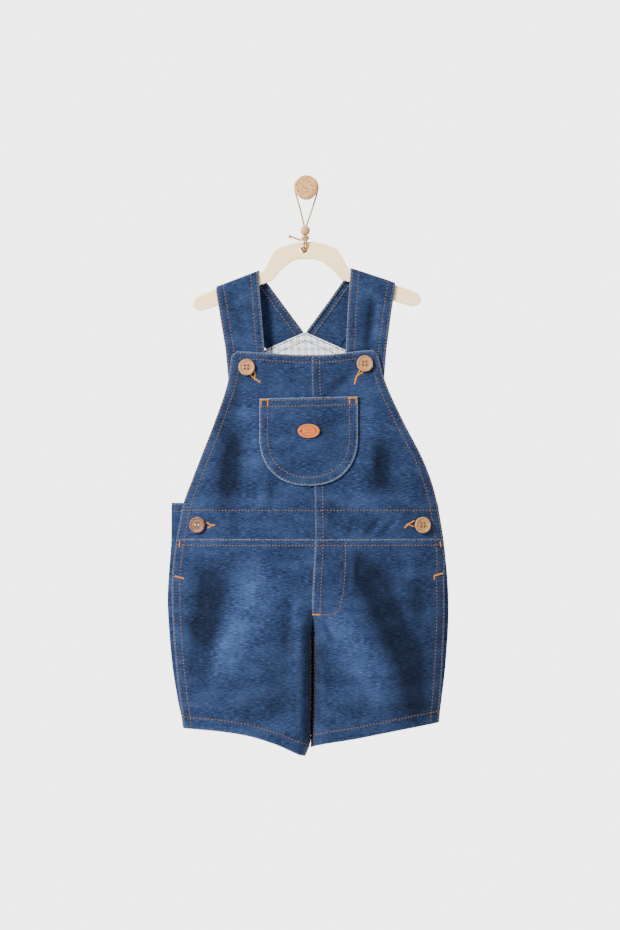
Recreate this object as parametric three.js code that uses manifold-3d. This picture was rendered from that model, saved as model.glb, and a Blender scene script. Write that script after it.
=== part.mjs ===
// Kids' short dungarees of denim-look cotton, hung by their straps on a small birch hanger. The hanger
// hangs by a twine loop, with a bead, on a cork knob that is fixed to the wall. Millimetres, +Z up. The
// wall is the plane y = 0 and everything hangs before it, towards -Y. The origin is on the knob's axis,
// where the knob meets the wall. Left and right are as seen from the front, so left is -X. Depth is the
// distance from the wall, so a point's y is minus its depth.
import * as THREE from "three";
import { mergeVertices } from "three/addons/utils/BufferGeometryUtils.js";
import Module from "manifold-3d";

const wasm = await Module();
wasm.setup();

const LEFT = -1;
const RIGHT = 1;

// Driving dimensions
const CLOTH = 1.4;
const SEAM_GAP = 0.3;
const LAP_GAP = 0.6;
const STRAP_THICKNESS = 2.0;
const FACING_THICKNESS = 1.2;

// The front from the bib's top edge to the hems: the left edge, the middle seam and the right edge across,
// and how far the outer face stands off the wall at the side edges and in the middle.
const FRONT_ROWS = [
  { z: -172.0, left: -77.6, seam: 5.4, right: 74.1, edgeDepth: 18.4, midDepth: 18.8 },
  { z: -205.6, left: -82.8, seam: 6.1, right: 83.6, edgeDepth: 18.5, midDepth: 19.6 },
  { z: -243.4, left: -95.4, seam: 7.1, right: 100.9, edgeDepth: 18.5, midDepth: 21.0 },
  { z: -281.2, left: -110.2, seam: 8.0, right: 120.6, edgeDepth: 17.0, midDepth: 23.5 },
  { z: -306.4, left: -120.1, seam: 8.5, right: 130.9, edgeDepth: 15.0, midDepth: 25.5 },
  { z: -330.5, left: -129.2, seam: 9.0, right: 137.7, edgeDepth: 12.8, midDepth: 27.5 },
  { z: -350.5, left: -133.4, seam: 9.2, right: 141.0, edgeDepth: 12.4, midDepth: 28.5 },
  { z: -369.4, left: -136.7, seam: 9.3, right: 143.9, edgeDepth: 12.4, midDepth: 29.5 },
  { z: -390.4, left: -139.7, seam: 8.6, right: 145.9, edgeDepth: 12.4, midDepth: 31.0 },
  { z: -408.2, left: -141.2, seam: 7.6, right: 145.2, edgeDepth: 12.4, midDepth: 32.0 },
  { z: -432.4, left: -141.4, seam: 6.5, right: 145.4, edgeDepth: 12.4, midDepth: 33.0 },
  { z: -458.6, left: -140.4, seam: 6.3, right: 145.2, edgeDepth: 12.4, midDepth: 34.0 },
  { z: -484.9, left: -138.6, seam: 6.3, right: 144.0, edgeDepth: 12.4, midDepth: 34.5 },
  { z: -511.1, left: -136.2, seam: 6.1, right: 142.6, edgeDepth: 12.4, midDepth: 34.5 },
  { z: -537.4, left: -133.0, seam: 5.4, right: 140.8, edgeDepth: 12.4, midDepth: 34.5 },
  { z: -561.5, left: -129.8, seam: 4.7, right: 139.0, edgeDepth: 12.4, midDepth: 34.0 },
  { z: -598.0, left: -127.8, seam: 4.7, right: 137.6, edgeDepth: 12.4, midDepth: 33.0 },
];

// The inner edges of the two legs, below the crotch.
const INSEAM_ROWS = [
  { z: -446, left: 6.35, right: 6.65 },
  { z: -462, left: 6.35, right: 6.65 },
  { z: -480, left: 6.35, right: 6.65 },
  { z: -516, left: 6.35, right: 6.65 },
  { z: -540, left: 6.0, right: 6.4 },
  { z: -560, left: 5.5, right: 6.0 },
  { z: -584, left: 3.9, right: 5.0 },
  { z: -598, left: -1.8, right: 4.6 },
];

// The sides of the body and legs, where the back turns to the front in a soft fold.
const SIDE_ROWS = [
  { z: -330.5, left: -142.4, right: 138.6 },
  { z: -350.5, left: -142.4, right: 141.8 },
  { z: -369.4, left: -142.6, right: 144.8 },
  { z: -390.4, left: -143.9, right: 147.0 },
  { z: -408.2, left: -145.3, right: 148.6 },
  { z: -432.4, left: -146.4, right: 149.8 },
  { z: -458.6, left: -145.2, right: 149.6 },
  { z: -484.9, left: -143.2, right: 148.0 },
  { z: -511.1, left: -140.2, right: 145.8 },
  { z: -537.4, left: -135.8, right: 142.6 },
  { z: -561.5, left: -131.0, right: 140.0 },
  { z: -598.0, left: -129.0, right: 138.6 },
];

// The upper back below its shoulders: its two armhole edges.
const BACK_ROWS = [
  { z: -170.6, left: -46.1, right: 43.7 },
  { z: -205.0, left: -50.0, right: 48.5 },
  { z: -243.0, left: -61.0, right: 61.5 },
  { z: -281.0, left: -79.0, right: 81.0 },
  { z: -306.0, left: -96.0, right: 99.0 },
  { z: -330.2, left: -115.9, right: 119.3 },
];

// The largest folds of the front: a trough has a negative height, and the angle leans the lower end to +X.
const FRONT_FOLDS = [
  { x: -77, z: -286, length: 92, width: 15, height: -2.0, angle: -10 },
  { x: -58, z: -262, length: 80, width: 14, height: 1.4, angle: 4 },
  { x: 78, z: -292, length: 60, width: 14, height: -2.0, angle: 4 },
  { x: 24.5, z: -262, length: 50, width: 15, height: -0.8, angle: 0 },
  { x: -63, z: -450, length: 120, width: 18, height: 3.0, angle: -27 },
  { x: -102, z: -438, length: 90, width: 17, height: -3.0, angle: -4 },
  { x: -30, z: -505, length: 110, width: 15, height: -2.0, angle: -8 },
  { x: 84, z: -445, length: 128, width: 16, height: -3.4, angle: 25 },
  { x: 51, z: -482, length: 104, width: 16, height: 2.8, angle: 36 },
  { x: 112, z: -520, length: 90, width: 16, height: -2.4, angle: 6 },
];

// The folds of the back, seen from behind, towards the wall.
const BACK_FOLDS = [
  { x: -70, z: -470, length: 120, width: 18, height: -1.6, angle: -20 },
  { x: 78, z: -455, length: 130, width: 18, height: -1.8, angle: 18 },
  { x: -32, z: -400, length: 70, width: 16, height: -1.2, angle: 12 },
  { x: 40, z: -520, length: 90, width: 16, height: -1.4, angle: -8 },
];

// Depths of the back's layers, from the wall
const BACK_DEPTH = 2.2;
const STRAP_DEPTH_AT_BACK = BACK_DEPTH + CLOTH + SEAM_GAP + STRAP_THICKNESS / 2;
const FACING_DEPTH = STRAP_DEPTH_AT_BACK + STRAP_THICKNESS / 2 + SEAM_GAP + FACING_THICKNESS;

// Heights of the seams
const WAIST_Z = -368.0;
const BACK_WAIST_TOP_Z = -330.5;
const PEAK = { z: -150.6, shoulderZ: -170.6 };

// The hems: how far below the knob each leg's lower edge lies, from the side seam (0) to the inseam (1).
const HEMS = {
  left: [
    { across: 0, z: -567.0 },
    { across: 0.26, z: -569.1 },
    { across: 0.46, z: -573.4 },
    { across: 0.65, z: -581.8 },
    { across: 0.82, z: -591.4 },
    { across: 1, z: -597.0 },
  ],
  right: [
    { across: 0, z: -561.1 },
    { across: 0.3, z: -568.3 },
    { across: 0.62, z: -577.0 },
    { across: 0.86, z: -582.6 },
    { across: 1, z: -587.4 },
  ],
};

// The crotch: the inner edges turn under between these heights, from the least turn to a right angle, and
// the front's meets the back's at this depth. The roll is the last fifth of a panel.
const CROTCH = { top: -424, bottom: -480, meetingDepth: 9.6, innerRoll: 14, leastTurn: 0.02 };
const ROLL_START = 0.8;

// How the front swells from its side edges to the middle, and where the folds die out: at a share of the
// way across near a side edge, and from a share of a fold's half length over the next.
const SWELL_POWER = 3;
const FOLD_EDGE_FADE = 0.18;
const FOLD_END_FADE = { start: 0.45, reach: 0.75 };

function mix(a, b, t) {
  return a + (b - a) * t;
}

function smooth(t) {
  const c = Math.min(1, Math.max(0, t));
  return c * c * (3 - 2 * c);
}

function sideName(side) {
  return side === LEFT ? "left" : "right";
}

// The value of a column at a key, by a cubic curve through the rows. A row's two neighbours give its slope.
function along(rows, key, column, at) {
  const rising = rows[0][key] < rows[rows.length - 1][key];
  const sign = rising ? 1 : -1;
  let k = 0;
  while (k < rows.length - 2 && sign * (at - rows[k + 1][key]) > 0) k += 1;
  const slope = (i) => {
    const a = rows[Math.max(0, i - 1)];
    const b = rows[Math.min(rows.length - 1, i + 1)];
    return (b[column] - a[column]) / (b[key] - a[key]);
  };
  const from = rows[k];
  const to = rows[k + 1];
  const span = to[key] - from[key];
  const t = Math.min(1, Math.max(0, (at - from[key]) / span));
  const t2 = t * t;
  const t3 = t2 * t;
  return (
    (2 * t3 - 3 * t2 + 1) * from[column] +
    (t3 - 2 * t2 + t) * span * slope(k) +
    (-2 * t3 + 3 * t2) * to[column] +
    (t3 - t2) * span * slope(k + 1)
  );
}

// The height of all folds at a place: each is a bell across its line, and fades out towards both its ends.
function foldHeight(folds, x, z) {
  let sum = 0;
  for (const fold of folds) {
    const lean = THREE.MathUtils.degToRad(fold.angle);
    const down = -(z - fold.z) * Math.cos(lean) + (x - fold.x) * Math.sin(lean);
    const across = (x - fold.x) * Math.cos(lean) + (z - fold.z) * Math.sin(lean);
    const share = Math.abs(down) / (fold.length / 2);
    const fade = 1 - smooth((share - FOLD_END_FADE.start) / FOLD_END_FADE.reach);
    sum += fold.height * fade * Math.exp(-((across / fold.width) ** 2));
  }
  return sum;
}

// The depth of the front's outer face at x, z, before the crotch turns it under.
function frontDepth(side, x, z) {
  const edge = along(FRONT_ROWS, "z", sideName(side), z);
  const middle = along(FRONT_ROWS, "z", "seam", z);
  const edgeDepth = along(FRONT_ROWS, "z", "edgeDepth", z);
  const midDepth = along(FRONT_ROWS, "z", "midDepth", z);
  const t = Math.min(1, Math.max(0, (x - edge) / (middle - edge)));
  const swell = 1 - (1 - t) ** SWELL_POWER;
  const fromEdge = smooth(t / FOLD_EDGE_FADE);
  return mix(edgeDepth, midDepth, swell) + foldHeight(FRONT_FOLDS, x, z) * fromEdge;
}

function innerEdge(side, z) {
  if (z > INSEAM_ROWS[0].z) {
    return along(FRONT_ROWS, "z", "seam", z) + (side * SEAM_GAP) / 2;
  }
  return along(INSEAM_ROWS, "z", sideName(side), z);
}

// A place on the inner roll at height z: part runs from where the roll starts (0) to the inner edge (1).
// Gives x, and how far the panel has turned there, as an angle.
function innerRoll(side, part, z) {
  const turned = smooth((CROTCH.top - z) / (CROTCH.top - CROTCH.bottom));
  const full = mix(CROTCH.leastTurn, Math.PI / 2, turned);
  const inner = innerEdge(side, z);
  const x = mix(inner + side * CROTCH.innerRoll, inner, Math.sin(part * full) / Math.sin(full));
  return { x, angle: part * full };
}

// A point of the front: u runs from the side edge (0) to the middle seam or inseam (1). Past ROLL_START the
// panel follows a quarter of an ellipse towards the wall, as far as the crotch has turned at that height.
function frontPoint(side, u, z) {
  if (u <= ROLL_START) {
    const edge = along(FRONT_ROWS, "z", sideName(side), z);
    const rollFrom = innerEdge(side, z) + side * CROTCH.innerRoll;
    const x = mix(edge, rollFrom, u / ROLL_START);
    return new THREE.Vector3(x, -frontDepth(side, x, z), z);
  }
  const { x, angle } = innerRoll(side, (u - ROLL_START) / (1 - ROLL_START), z);
  const flat = frontDepth(side, x, z);
  const depth = flat - (flat - CROTCH.meetingDepth) * (1 - Math.cos(angle));
  return new THREE.Vector3(x, -depth, z);
}

function hemHeight(side, across) {
  return along(HEMS[sideName(side)], "across", "z", across);
}

// A point of the back's outer face at x, z.
function backPoint(x, z, fade = 1) {
  const depth = BACK_DEPTH - foldHeight(BACK_FOLDS, x, z) * fade;
  return new THREE.Vector3(x, -depth, z);
}

// The way a line of points runs at its k-th point; at an end, by a parabola through the last three.
function tangent(points, k) {
  const last = points.length - 1;
  if (last < 2) return points[last].clone().sub(points[0]);
  if (k > 0 && k < last) return points[k + 1].clone().sub(points[k - 1]);
  const inward = k === 0 ? 1 : -1;
  const turn = points[k].clone().multiplyScalar(-3);
  turn.addScaledVector(points[k + inward], 4).sub(points[k + 2 * inward]);
  return turn.multiplyScalar(inward);
}

// The outward direction of a grid of points at i, j. turn is +1 where the first index, the second and the
// outward direction are right-handed, and -1 where not.
function outward(grid, i, j, turn) {
  const across = tangent(grid.map((line) => line[j]), i);
  const down = tangent(grid[i], j);
  return across.cross(down).multiplyScalar(turn).normalize();
}

// A closed wall of cloth on a grid of outer points, grid[i][j]: its inner face is moved in by the
// thickness.
function wall(grid, thickness, turn) {
  const columns = grid.length;
  const rows = grid[0].length;
  const positions = [];
  for (const layer of [0, thickness]) {
    for (let i = 0; i < columns; i += 1) {
      for (let j = 0; j < rows; j += 1) {
        const p = grid[i][j].clone().addScaledVector(outward(grid, i, j, turn), -layer);
        positions.push(p.x, p.y, p.z);
      }
    }
  }
  const outer = (i, j) => i * rows + j;
  const inner = (i, j) => columns * rows + i * rows + j;
  const index = [];
  const quad = (a, b, c, d) => index.push(a, b, c, a, c, d);
  for (let i = 0; i < columns - 1; i += 1) {
    for (let j = 0; j < rows - 1; j += 1) {
      quad(outer(i, j), outer(i + 1, j), outer(i + 1, j + 1), outer(i, j + 1));
      quad(inner(i, j), inner(i, j + 1), inner(i + 1, j + 1), inner(i + 1, j));
    }
  }
  for (let i = 0; i < columns - 1; i += 1) {
    quad(outer(i + 1, 0), outer(i, 0), inner(i, 0), inner(i + 1, 0));
    quad(outer(i, rows - 1), outer(i + 1, rows - 1), inner(i + 1, rows - 1), inner(i, rows - 1));
  }
  for (let j = 0; j < rows - 1; j += 1) {
    quad(outer(0, j), outer(0, j + 1), inner(0, j + 1), inner(0, j));
    quad(outer(columns - 1, j + 1), outer(columns - 1, j), inner(columns - 1, j), inner(columns - 1, j + 1));
  }
  if (turn < 0) {
    for (let k = 0; k < index.length; k += 3) {
      [index[k + 1], index[k + 2]] = [index[k + 2], index[k + 1]];
    }
  }
  const geometry = new THREE.BufferGeometry();
  geometry.setAttribute("position", new THREE.Float32BufferAttribute(positions, 3));
  geometry.setIndex(index);
  return geometry;
}

// A grid of points from two lists of parameters.
function gridOf(us, vs, point) {
  return us.map((u) => vs.map((v) => point(u, v)));
}

function steps(count, from = 0, to = 1) {
  return Array.from({ length: count + 1 }, (_, k) => mix(from, to, k / count));
}

// The corners of a round outline about x, 0
function circle(radius, sides, x = 0) {
  return Array.from({ length: sides }, (_, k) => {
    const angle = (2 * Math.PI * k) / sides;
    return new THREE.Vector2(x + radius * Math.cos(angle), radius * Math.sin(angle));
  });
}

// Joins and cuts
function solidOf(geometry, matrix) {
  const bare = new THREE.BufferGeometry();
  const flat = geometry.index ? geometry.toNonIndexed() : geometry;
  bare.setAttribute("position", flat.getAttribute("position").clone());
  bare.applyMatrix4(matrix ?? new THREE.Matrix4());
  const merged = mergeVertices(bare, 1e-3);
  return new wasm.Manifold(
    new wasm.Mesh({
      numProp: 3,
      vertProperties: merged.attributes.position.array,
      triVerts: new Uint32Array(merged.index.array),
    }),
  );
}

function geometryOf(solid) {
  const mesh = solid.getMesh();
  const geometry = new THREE.BufferGeometry();
  geometry.setAttribute("position", new THREE.BufferAttribute(new Float32Array(mesh.vertProperties), 3));
  geometry.setIndex(new THREE.BufferAttribute(new Uint32Array(mesh.triVerts), 1));
  return geometry;
}

// Materials
const denim = new THREE.MeshStandardMaterial({ color: 0x57749d, roughness: 0.92, metalness: 0 });
const gingham = new THREE.MeshStandardMaterial({ color: 0xc7cbd0, roughness: 0.9, metalness: 0 });
const leather = new THREE.MeshStandardMaterial({ color: 0xf4af86, roughness: 0.6, metalness: 0 });
const paleButton = new THREE.MeshStandardMaterial({ color: 0xc6a17e, roughness: 0.6, metalness: 0 });
const birch = new THREE.MeshStandardMaterial({ color: 0xeee0d0, roughness: 0.7, metalness: 0 });
const cork = new THREE.MeshStandardMaterial({ color: 0xd8bb9c, roughness: 0.85, metalness: 0 });
const twine = new THREE.MeshStandardMaterial({ color: 0xcdb48c, roughness: 0.95, metalness: 0 });
const beech = new THREE.MeshStandardMaterial({ color: 0xd5b290, roughness: 0.55, metalness: 0 });

const dungarees = new THREE.Group();

function addPiece(name, geometry, material) {
  const shaded = geometry.index ? geometry.toNonIndexed() : geometry;
  shaded.computeVertexNormals();
  const mesh = new THREE.Mesh(shaded, material);
  mesh.name = name;
  dungarees.add(mesh);
  return mesh;
}

// The bib's two halves, from the top edge to the waist seam. The top edge dips from its corners to the
// middle, and its outer corner is rounded: cut down by a height, over a share of the way across.
const BIB_TOP = { left: -171.6, middle: -175.6, right: -170.2, dipRate: 1.1 };
const BIB_CORNER = { height: 4, across: 0.06 };
const BIB_COLUMNS = [...steps(9, 0, ROLL_START), 0.9, 1];
const BIB_STEPS = 17;

function bibTop(side, u) {
  const dip = mix(BIB_TOP[sideName(side)], BIB_TOP.middle, smooth(u * BIB_TOP.dipRate));
  return dip - BIB_CORNER.height * (1 - smooth(u / BIB_CORNER.across));
}

for (const side of [LEFT, RIGHT]) {
  const grid = gridOf(BIB_COLUMNS, steps(BIB_STEPS), (u, v) => {
    return frontPoint(side, u, mix(bibTop(side, u), WAIST_Z, v));
  });
  addPiece("bib_" + sideName(side), wall(grid, CLOTH, side), denim);
}

// The legs' front panels, from the waist seam to the hems
const LEG_COLUMNS = [0, 0.03, 0.07, ...steps(8, 0.14, ROLL_START), 0.85, 0.9, 0.95, 1];
const LEG_STEPS = 18;
const LEG_TOP_Z = WAIST_Z - SEAM_GAP;

function legHeight(side, across, v) {
  return mix(LEG_TOP_Z, hemHeight(side, across), v);
}

for (const side of [LEFT, RIGHT]) {
  const grid = gridOf(LEG_COLUMNS, steps(LEG_STEPS), (u, v) => frontPoint(side, u, legHeight(side, u, v)));
  addPiece("front_leg_" + sideName(side), wall(grid, CLOTH, side), denim);
}

// Where a back panel laps under the front's side edge: the front's own points, moved in by its wall and a
// gap. Towards the start of the side fold, from where they are settled, they sink to the edge's own depth.
const LAP = { start: 0.02, settled: 0.06 };

function underFront(side, z, u) {
  const p = frontPoint(side, u, z);
  const edgeDepth = along(FRONT_ROWS, "z", "edgeDepth", z);
  const settled = smooth((u - LAP.start) / (LAP.settled - LAP.start));
  p.y = -(mix(edgeDepth, -p.y, settled) - CLOTH - LAP_GAP);
  return p;
}

// The soft fold at the side: half an ellipse from under the front's edge round to the back. turn 0 is the
// front.
function sideFold(side, z, turn) {
  const outerX = along(SIDE_ROWS, "z", sideName(side), z);
  const start = underFront(side, z, LAP.start);
  const reach = Math.abs(outerX - start.x);
  const middleDepth = (-start.y + BACK_DEPTH) / 2;
  const halfDepth = (-start.y - BACK_DEPTH) / 2;
  const angle = turn * Math.PI;
  return new THREE.Vector3(
    start.x + side * reach * Math.sin(angle),
    -(middleDepth + halfDepth * Math.cos(angle)),
    z,
  );
}

const FOLD_TURNS = [0.2, 0.4, 0.6, 0.8, 1];

// The back's waist band, with a side extension at each end that the front laps over
const EXTENSION_COLUMNS = [0.22, 0.15, 0.08, LAP.start];
const WAIST_STEPS = 3;
{
  const profile = (z) => {
    const points = [];
    for (const u of EXTENSION_COLUMNS) points.push(underFront(LEFT, z, u));
    for (const turn of FOLD_TURNS) points.push(sideFold(LEFT, z, turn));
    const from = points[points.length - 1].x;
    const to = sideFold(RIGHT, z, 1).x;
    for (const t of steps(10, 0.1, 0.9)) points.push(backPoint(mix(from, to, t), z));
    for (const turn of [...FOLD_TURNS].reverse()) points.push(sideFold(RIGHT, z, turn));
    for (const u of [...EXTENSION_COLUMNS].reverse()) points.push(underFront(RIGHT, z, u));
    return points;
  };
  const sections = steps(WAIST_STEPS).map((v) => profile(mix(BACK_WAIST_TOP_Z, WAIST_Z, v)));
  const grid = sections[0].map((_, i) => sections.map((section) => section[i]));
  addPiece("back_waist", wall(grid, CLOTH, RIGHT), denim);
}

// The legs' back panels: from the lap under the front's edge, round the side fold, across the back and,
// below the crotch, round to the inseam. The back's folds die out over a share of the way at both ends of
// the flat part.
const BACK_LAP_COLUMNS = [0.07, 0.045, LAP.start];
const BACK_COLUMNS = steps(7, 0.1, 1);
const BACK_FOLD_FADE = 0.2;
const INSEAM_TURNS = [0.35, 0.7, 1];

for (const side of [LEFT, RIGHT]) {
  const section = (v) => {
    const points = [];
    const sideZ = legHeight(side, 0, v);
    for (const u of BACK_LAP_COLUMNS) points.push(underFront(side, legHeight(side, u, v), u));
    for (const turn of FOLD_TURNS) points.push(sideFold(side, sideZ, turn));
    const from = points[points.length - 1].x;
    for (const t of BACK_COLUMNS) {
      const z = legHeight(side, t * ROLL_START, v);
      const to = innerEdge(side, z) + side * CROTCH.innerRoll;
      const fade = smooth(t / BACK_FOLD_FADE) * smooth((1 - t) / BACK_FOLD_FADE);
      points.push(backPoint(mix(from, to, t), z, fade));
    }
    for (const part of INSEAM_TURNS) {
      const z = legHeight(side, mix(ROLL_START, 1, part), v);
      const { x, angle } = innerRoll(side, part, z);
      const rise = CROTCH.meetingDepth - SEAM_GAP - BACK_DEPTH;
      points.push(new THREE.Vector3(x, -(BACK_DEPTH + rise * (1 - Math.cos(angle))), z));
    }
    return points;
  };
  const sections = steps(LEG_STEPS).map(section);
  const grid = sections[0].map((_, i) => sections.map((points) => points[i]));
  addPiece("back_leg_" + sideName(side), wall(grid, CLOTH, -side), denim);
}

// The upper back, house-shaped, with its peak between the straps
function gable(u) {
  return (PEAK.z - PEAK.shoulderZ) * (1 - Math.abs(2 * u - 1));
}

const UPPER_BACK_BOTTOM_Z = BACK_WAIST_TOP_Z + SEAM_GAP;
{
  const grid = gridOf(steps(10), steps(9), (u, v) => {
    const z = mix(PEAK.shoulderZ, UPPER_BACK_BOTTOM_Z, v);
    const x = mix(along(BACK_ROWS, "z", "left", z), along(BACK_ROWS, "z", "right", z), u);
    return backPoint(x, z + gable(u) * (1 - v));
  });
  addPiece("back_bib", wall(grid, CLOTH, RIGHT), denim);
}

// The gingham facing inside the upper back, which shows above the bib
const FACING_BOTTOM_Z = -214;
{
  const grid = gridOf(steps(10), steps(3), (u, v) => {
    const z = mix(PEAK.shoulderZ, FACING_BOTTOM_Z, v);
    const x = mix(along(BACK_ROWS, "z", "left", z), along(BACK_ROWS, "z", "right", z), u);
    return new THREE.Vector3(x, -FACING_DEPTH, z + gable(u) * (1 - v));
  });
  addPiece("back_facing", wall(grid, FACING_THICKNESS, LEFT), gingham);
}

// The straps: each is one band, sewn between the back and its facing, laid over the hanger's arm and
// buttoned behind the bib. A row gives both edges, and the depth of the band's middle.
const ARM = { backDepth: 8.4, thickness: 6 };
const STRAP_BEHIND = ARM.backDepth - SEAM_GAP - STRAP_THICKNESS / 2;
const STRAP_BEFORE = ARM.backDepth + ARM.thickness + SEAM_GAP + STRAP_THICKNESS / 2;
const STRAP_LEAVING_BACK = mix(STRAP_DEPTH_AT_BACK, STRAP_BEHIND, 0.6);
const STRAPS = {
  left: {
    behind: [
      { outerX: -38.2, outerZ: -173.8, innerX: -1.9, innerZ: -157.0, depth: STRAP_DEPTH_AT_BACK },
      { outerX: -42.1, outerZ: -168.6, innerX: -2.9, innerZ: -150.9, depth: STRAP_DEPTH_AT_BACK },
      { outerX: -67.4, outerZ: -137.3, innerX: -25.8, innerZ: -120.3, depth: STRAP_LEAVING_BACK },
      { outerX: -92.6, outerZ: -105.7, innerX: -48.8, innerZ: -88.9, depth: STRAP_BEHIND },
    ],
    before: [
      { outerX: -94.8, outerZ: -105.9, innerX: -50.9, innerZ: -89.2, depth: STRAP_BEFORE },
      { outerX: -90.1, outerZ: -136.0, innerX: -47.6, innerZ: -128.0, depth: STRAP_BEFORE },
      { outerX: -84.7, outerZ: -168.3, innerX: -44.2, innerZ: -168.3, depth: STRAP_BEFORE },
      { outerX: -80.6, outerZ: -212.0, innerX: -42.0, innerZ: -212.0, depth: STRAP_BEFORE },
    ],
  },
  right: {
    behind: [
      { outerX: 37.5, outerZ: -175.5, innerX: -0.9, innerZ: -157.0, depth: STRAP_DEPTH_AT_BACK },
      { outerX: 41.2, outerZ: -170.3, innerX: -0.5, innerZ: -150.9, depth: STRAP_DEPTH_AT_BACK },
      { outerX: 66.2, outerZ: -136.0, innerX: 23.4, innerZ: -118.6, depth: STRAP_LEAVING_BACK },
      { outerX: 91.2, outerZ: -101.4, innerX: 46.2, innerZ: -86.2, depth: STRAP_BEHIND },
    ],
    before: [
      { outerX: 93.3, outerZ: -101.4, innerX: 46.8, innerZ: -86.2, depth: STRAP_BEFORE },
      { outerX: 88.4, outerZ: -134.0, innerX: 43.8, innerZ: -128.0, depth: STRAP_BEFORE },
      { outerX: 84.0, outerZ: -168.3, innerX: 42.0, innerZ: -168.3, depth: STRAP_BEFORE },
      { outerX: 80.4, outerZ: -210.0, innerX: 40.0, innerZ: -210.0, depth: STRAP_BEFORE },
    ],
  },
};

// The flat-topped arch over the arm: across from behind (-1) to before (1), and the rise above its foot.
const STRAP_ARCH = [
  { across: -0.93, rise: 1.1 },
  { across: -0.65, rise: 2.0 },
  { across: 0, rise: 2.3 },
  { across: 0.65, rise: 2.0 },
  { across: 0.93, rise: 1.1 },
];
const STRAP_COLUMNS = steps(5);
const STRAP_PARTS = { behind: 2, before: 3 };

// In front, below the hanger's arm, a strap is hollow across between these heights.
const STRAP_HOLLOW = { depth: 1.8, top: -120, bottom: -168, fade: 16 };

// The row between two rows of a table.
function blend(a, b, t) {
  const made = {};
  for (const key of Object.keys(a)) made[key] = mix(a[key], b[key], t);
  return made;
}

// The strap's rows and the rows between them, from behind, over the arm and down the front.
function strapStations(side) {
  const { behind, before } = STRAPS[sideName(side)];
  const stations = [];
  const addBetween = (rows, parts) => {
    for (let k = 0; k < rows.length - 1; k += 1) {
      for (const t of steps(parts).slice(0, -1)) stations.push(blend(rows[k], rows[k + 1], t));
    }
    stations.push(rows[rows.length - 1]);
  };
  addBetween(behind, STRAP_PARTS.behind);
  for (const { across, rise } of STRAP_ARCH) {
    const at = blend(behind[behind.length - 1], before[0], (across + 1) / 2);
    stations.push({ ...at, outerZ: at.outerZ + rise, innerZ: at.innerZ + rise });
  }
  addBetween(before, STRAP_PARTS.before);
  return stations;
}

// The grid, moved out along its own normals.
function raise(grid, by, turn) {
  return grid.map((line, i) => line.map((p, j) => p.clone().addScaledVector(outward(grid, i, j, turn), by)));
}

// A point of the strap's middle layer: u runs from its outer edge (0) to its inner edge (1).
function strapPoint(row, u) {
  const z = mix(row.outerZ, row.innerZ, u);
  const { depth, top, bottom, fade } = STRAP_HOLLOW;
  const share = smooth((top - z) / fade) * smooth((z - bottom) / fade);
  const onFront = row.depth > ARM.backDepth + ARM.thickness ? 1 : 0;
  const hollow = depth * share * onFront * Math.sin(Math.PI * u) ** 2;
  return new THREE.Vector3(mix(row.outerX, row.innerX, u), -(row.depth - hollow), z);
}

for (const side of [LEFT, RIGHT]) {
  const stations = strapStations(side);
  const middle = STRAP_COLUMNS.map((u) => stations.map((row) => strapPoint(row, u)));
  const outer = raise(middle, STRAP_THICKNESS / 2, side);
  addPiece("strap_" + sideName(side), wall(outer, STRAP_THICKNESS, side), denim);
}

// The bib pocket, laid on the bib's own points and moved out: straight sides, then a round lower edge,
// which is cos^acrossPower wide and sin^downPower deep, up to the last angle.
const POCKET = { x: 2.4, topZ: -220, shoulderZ: -262, bottomZ: -312, halfWidth: 51.4, gap: 0.5 };
const POCKET_ROUND = { acrossPower: 0.85, downPower: 0.95, lastAngle: 1.5, parts: 8 };
const POCKET_STRAIGHT_PARTS = 3;
const POCKET_COLUMNS = steps(10, -1, 1);

function bibDepthAt(x, z) {
  const side = x < along(FRONT_ROWS, "z", "seam", z) ? LEFT : RIGHT;
  return frontDepth(side, x, z);
}

// The pocket's rows: each has its height, and its half width as a share of the whole.
function pocketRows() {
  const straight = steps(POCKET_STRAIGHT_PARTS).slice(0, -1).map((t) => {
    return { z: mix(POCKET.topZ, POCKET.shoulderZ, t), half: 1 };
  });
  const round = steps(POCKET_ROUND.parts, 0, POCKET_ROUND.lastAngle).map((angle) => {
    const z = mix(POCKET.shoulderZ, POCKET.bottomZ, Math.sin(angle) ** POCKET_ROUND.downPower);
    return { z, half: Math.cos(angle) ** POCKET_ROUND.acrossPower };
  });
  return [...straight, ...round];
}

{
  const grid = gridOf(POCKET_COLUMNS, pocketRows(), (across, row) => {
    const x = POCKET.x + across * row.half * POCKET.halfWidth;
    return new THREE.Vector3(x, -(bibDepthAt(x, row.z) + POCKET.gap + CLOTH), row.z);
  });
  addPiece("bib_pocket", wall(grid, CLOTH, LEFT), denim);
}

// The oval leather tag on the pocket, bare, with its two sewing holes
const TAG = { x: 2.5, z: -255, halfWidth: 11.5, halfHeight: 7.35, sides: 32, thickness: 1.2, gap: 0.9 };
const TAG_HOLE = { at: 8, radius: 0.9, sides: 10 };

function turnToFront(mesh, x, depth, z) {
  mesh.rotation.x = Math.PI / 2;
  mesh.position.set(x, -depth, z);
}

{
  const halfSize = new THREE.Vector2(TAG.halfWidth, TAG.halfHeight);
  const outline = new THREE.Shape(circle(1, TAG.sides).map((p) => p.multiply(halfSize)));
  for (const at of [-TAG_HOLE.at, TAG_HOLE.at]) {
    outline.holes.push(new THREE.Path(circle(TAG_HOLE.radius, TAG_HOLE.sides, at)));
  }
  const plate = new THREE.ExtrudeGeometry(outline, { depth: TAG.thickness, bevelEnabled: false });
  const pocketFace = bibDepthAt(TAG.x, TAG.z) + POCKET.gap + CLOTH;
  turnToFront(addPiece("pocket_tag", plate, leather), TAG.x, pocketFace + TAG.gap, TAG.z);
}

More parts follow.
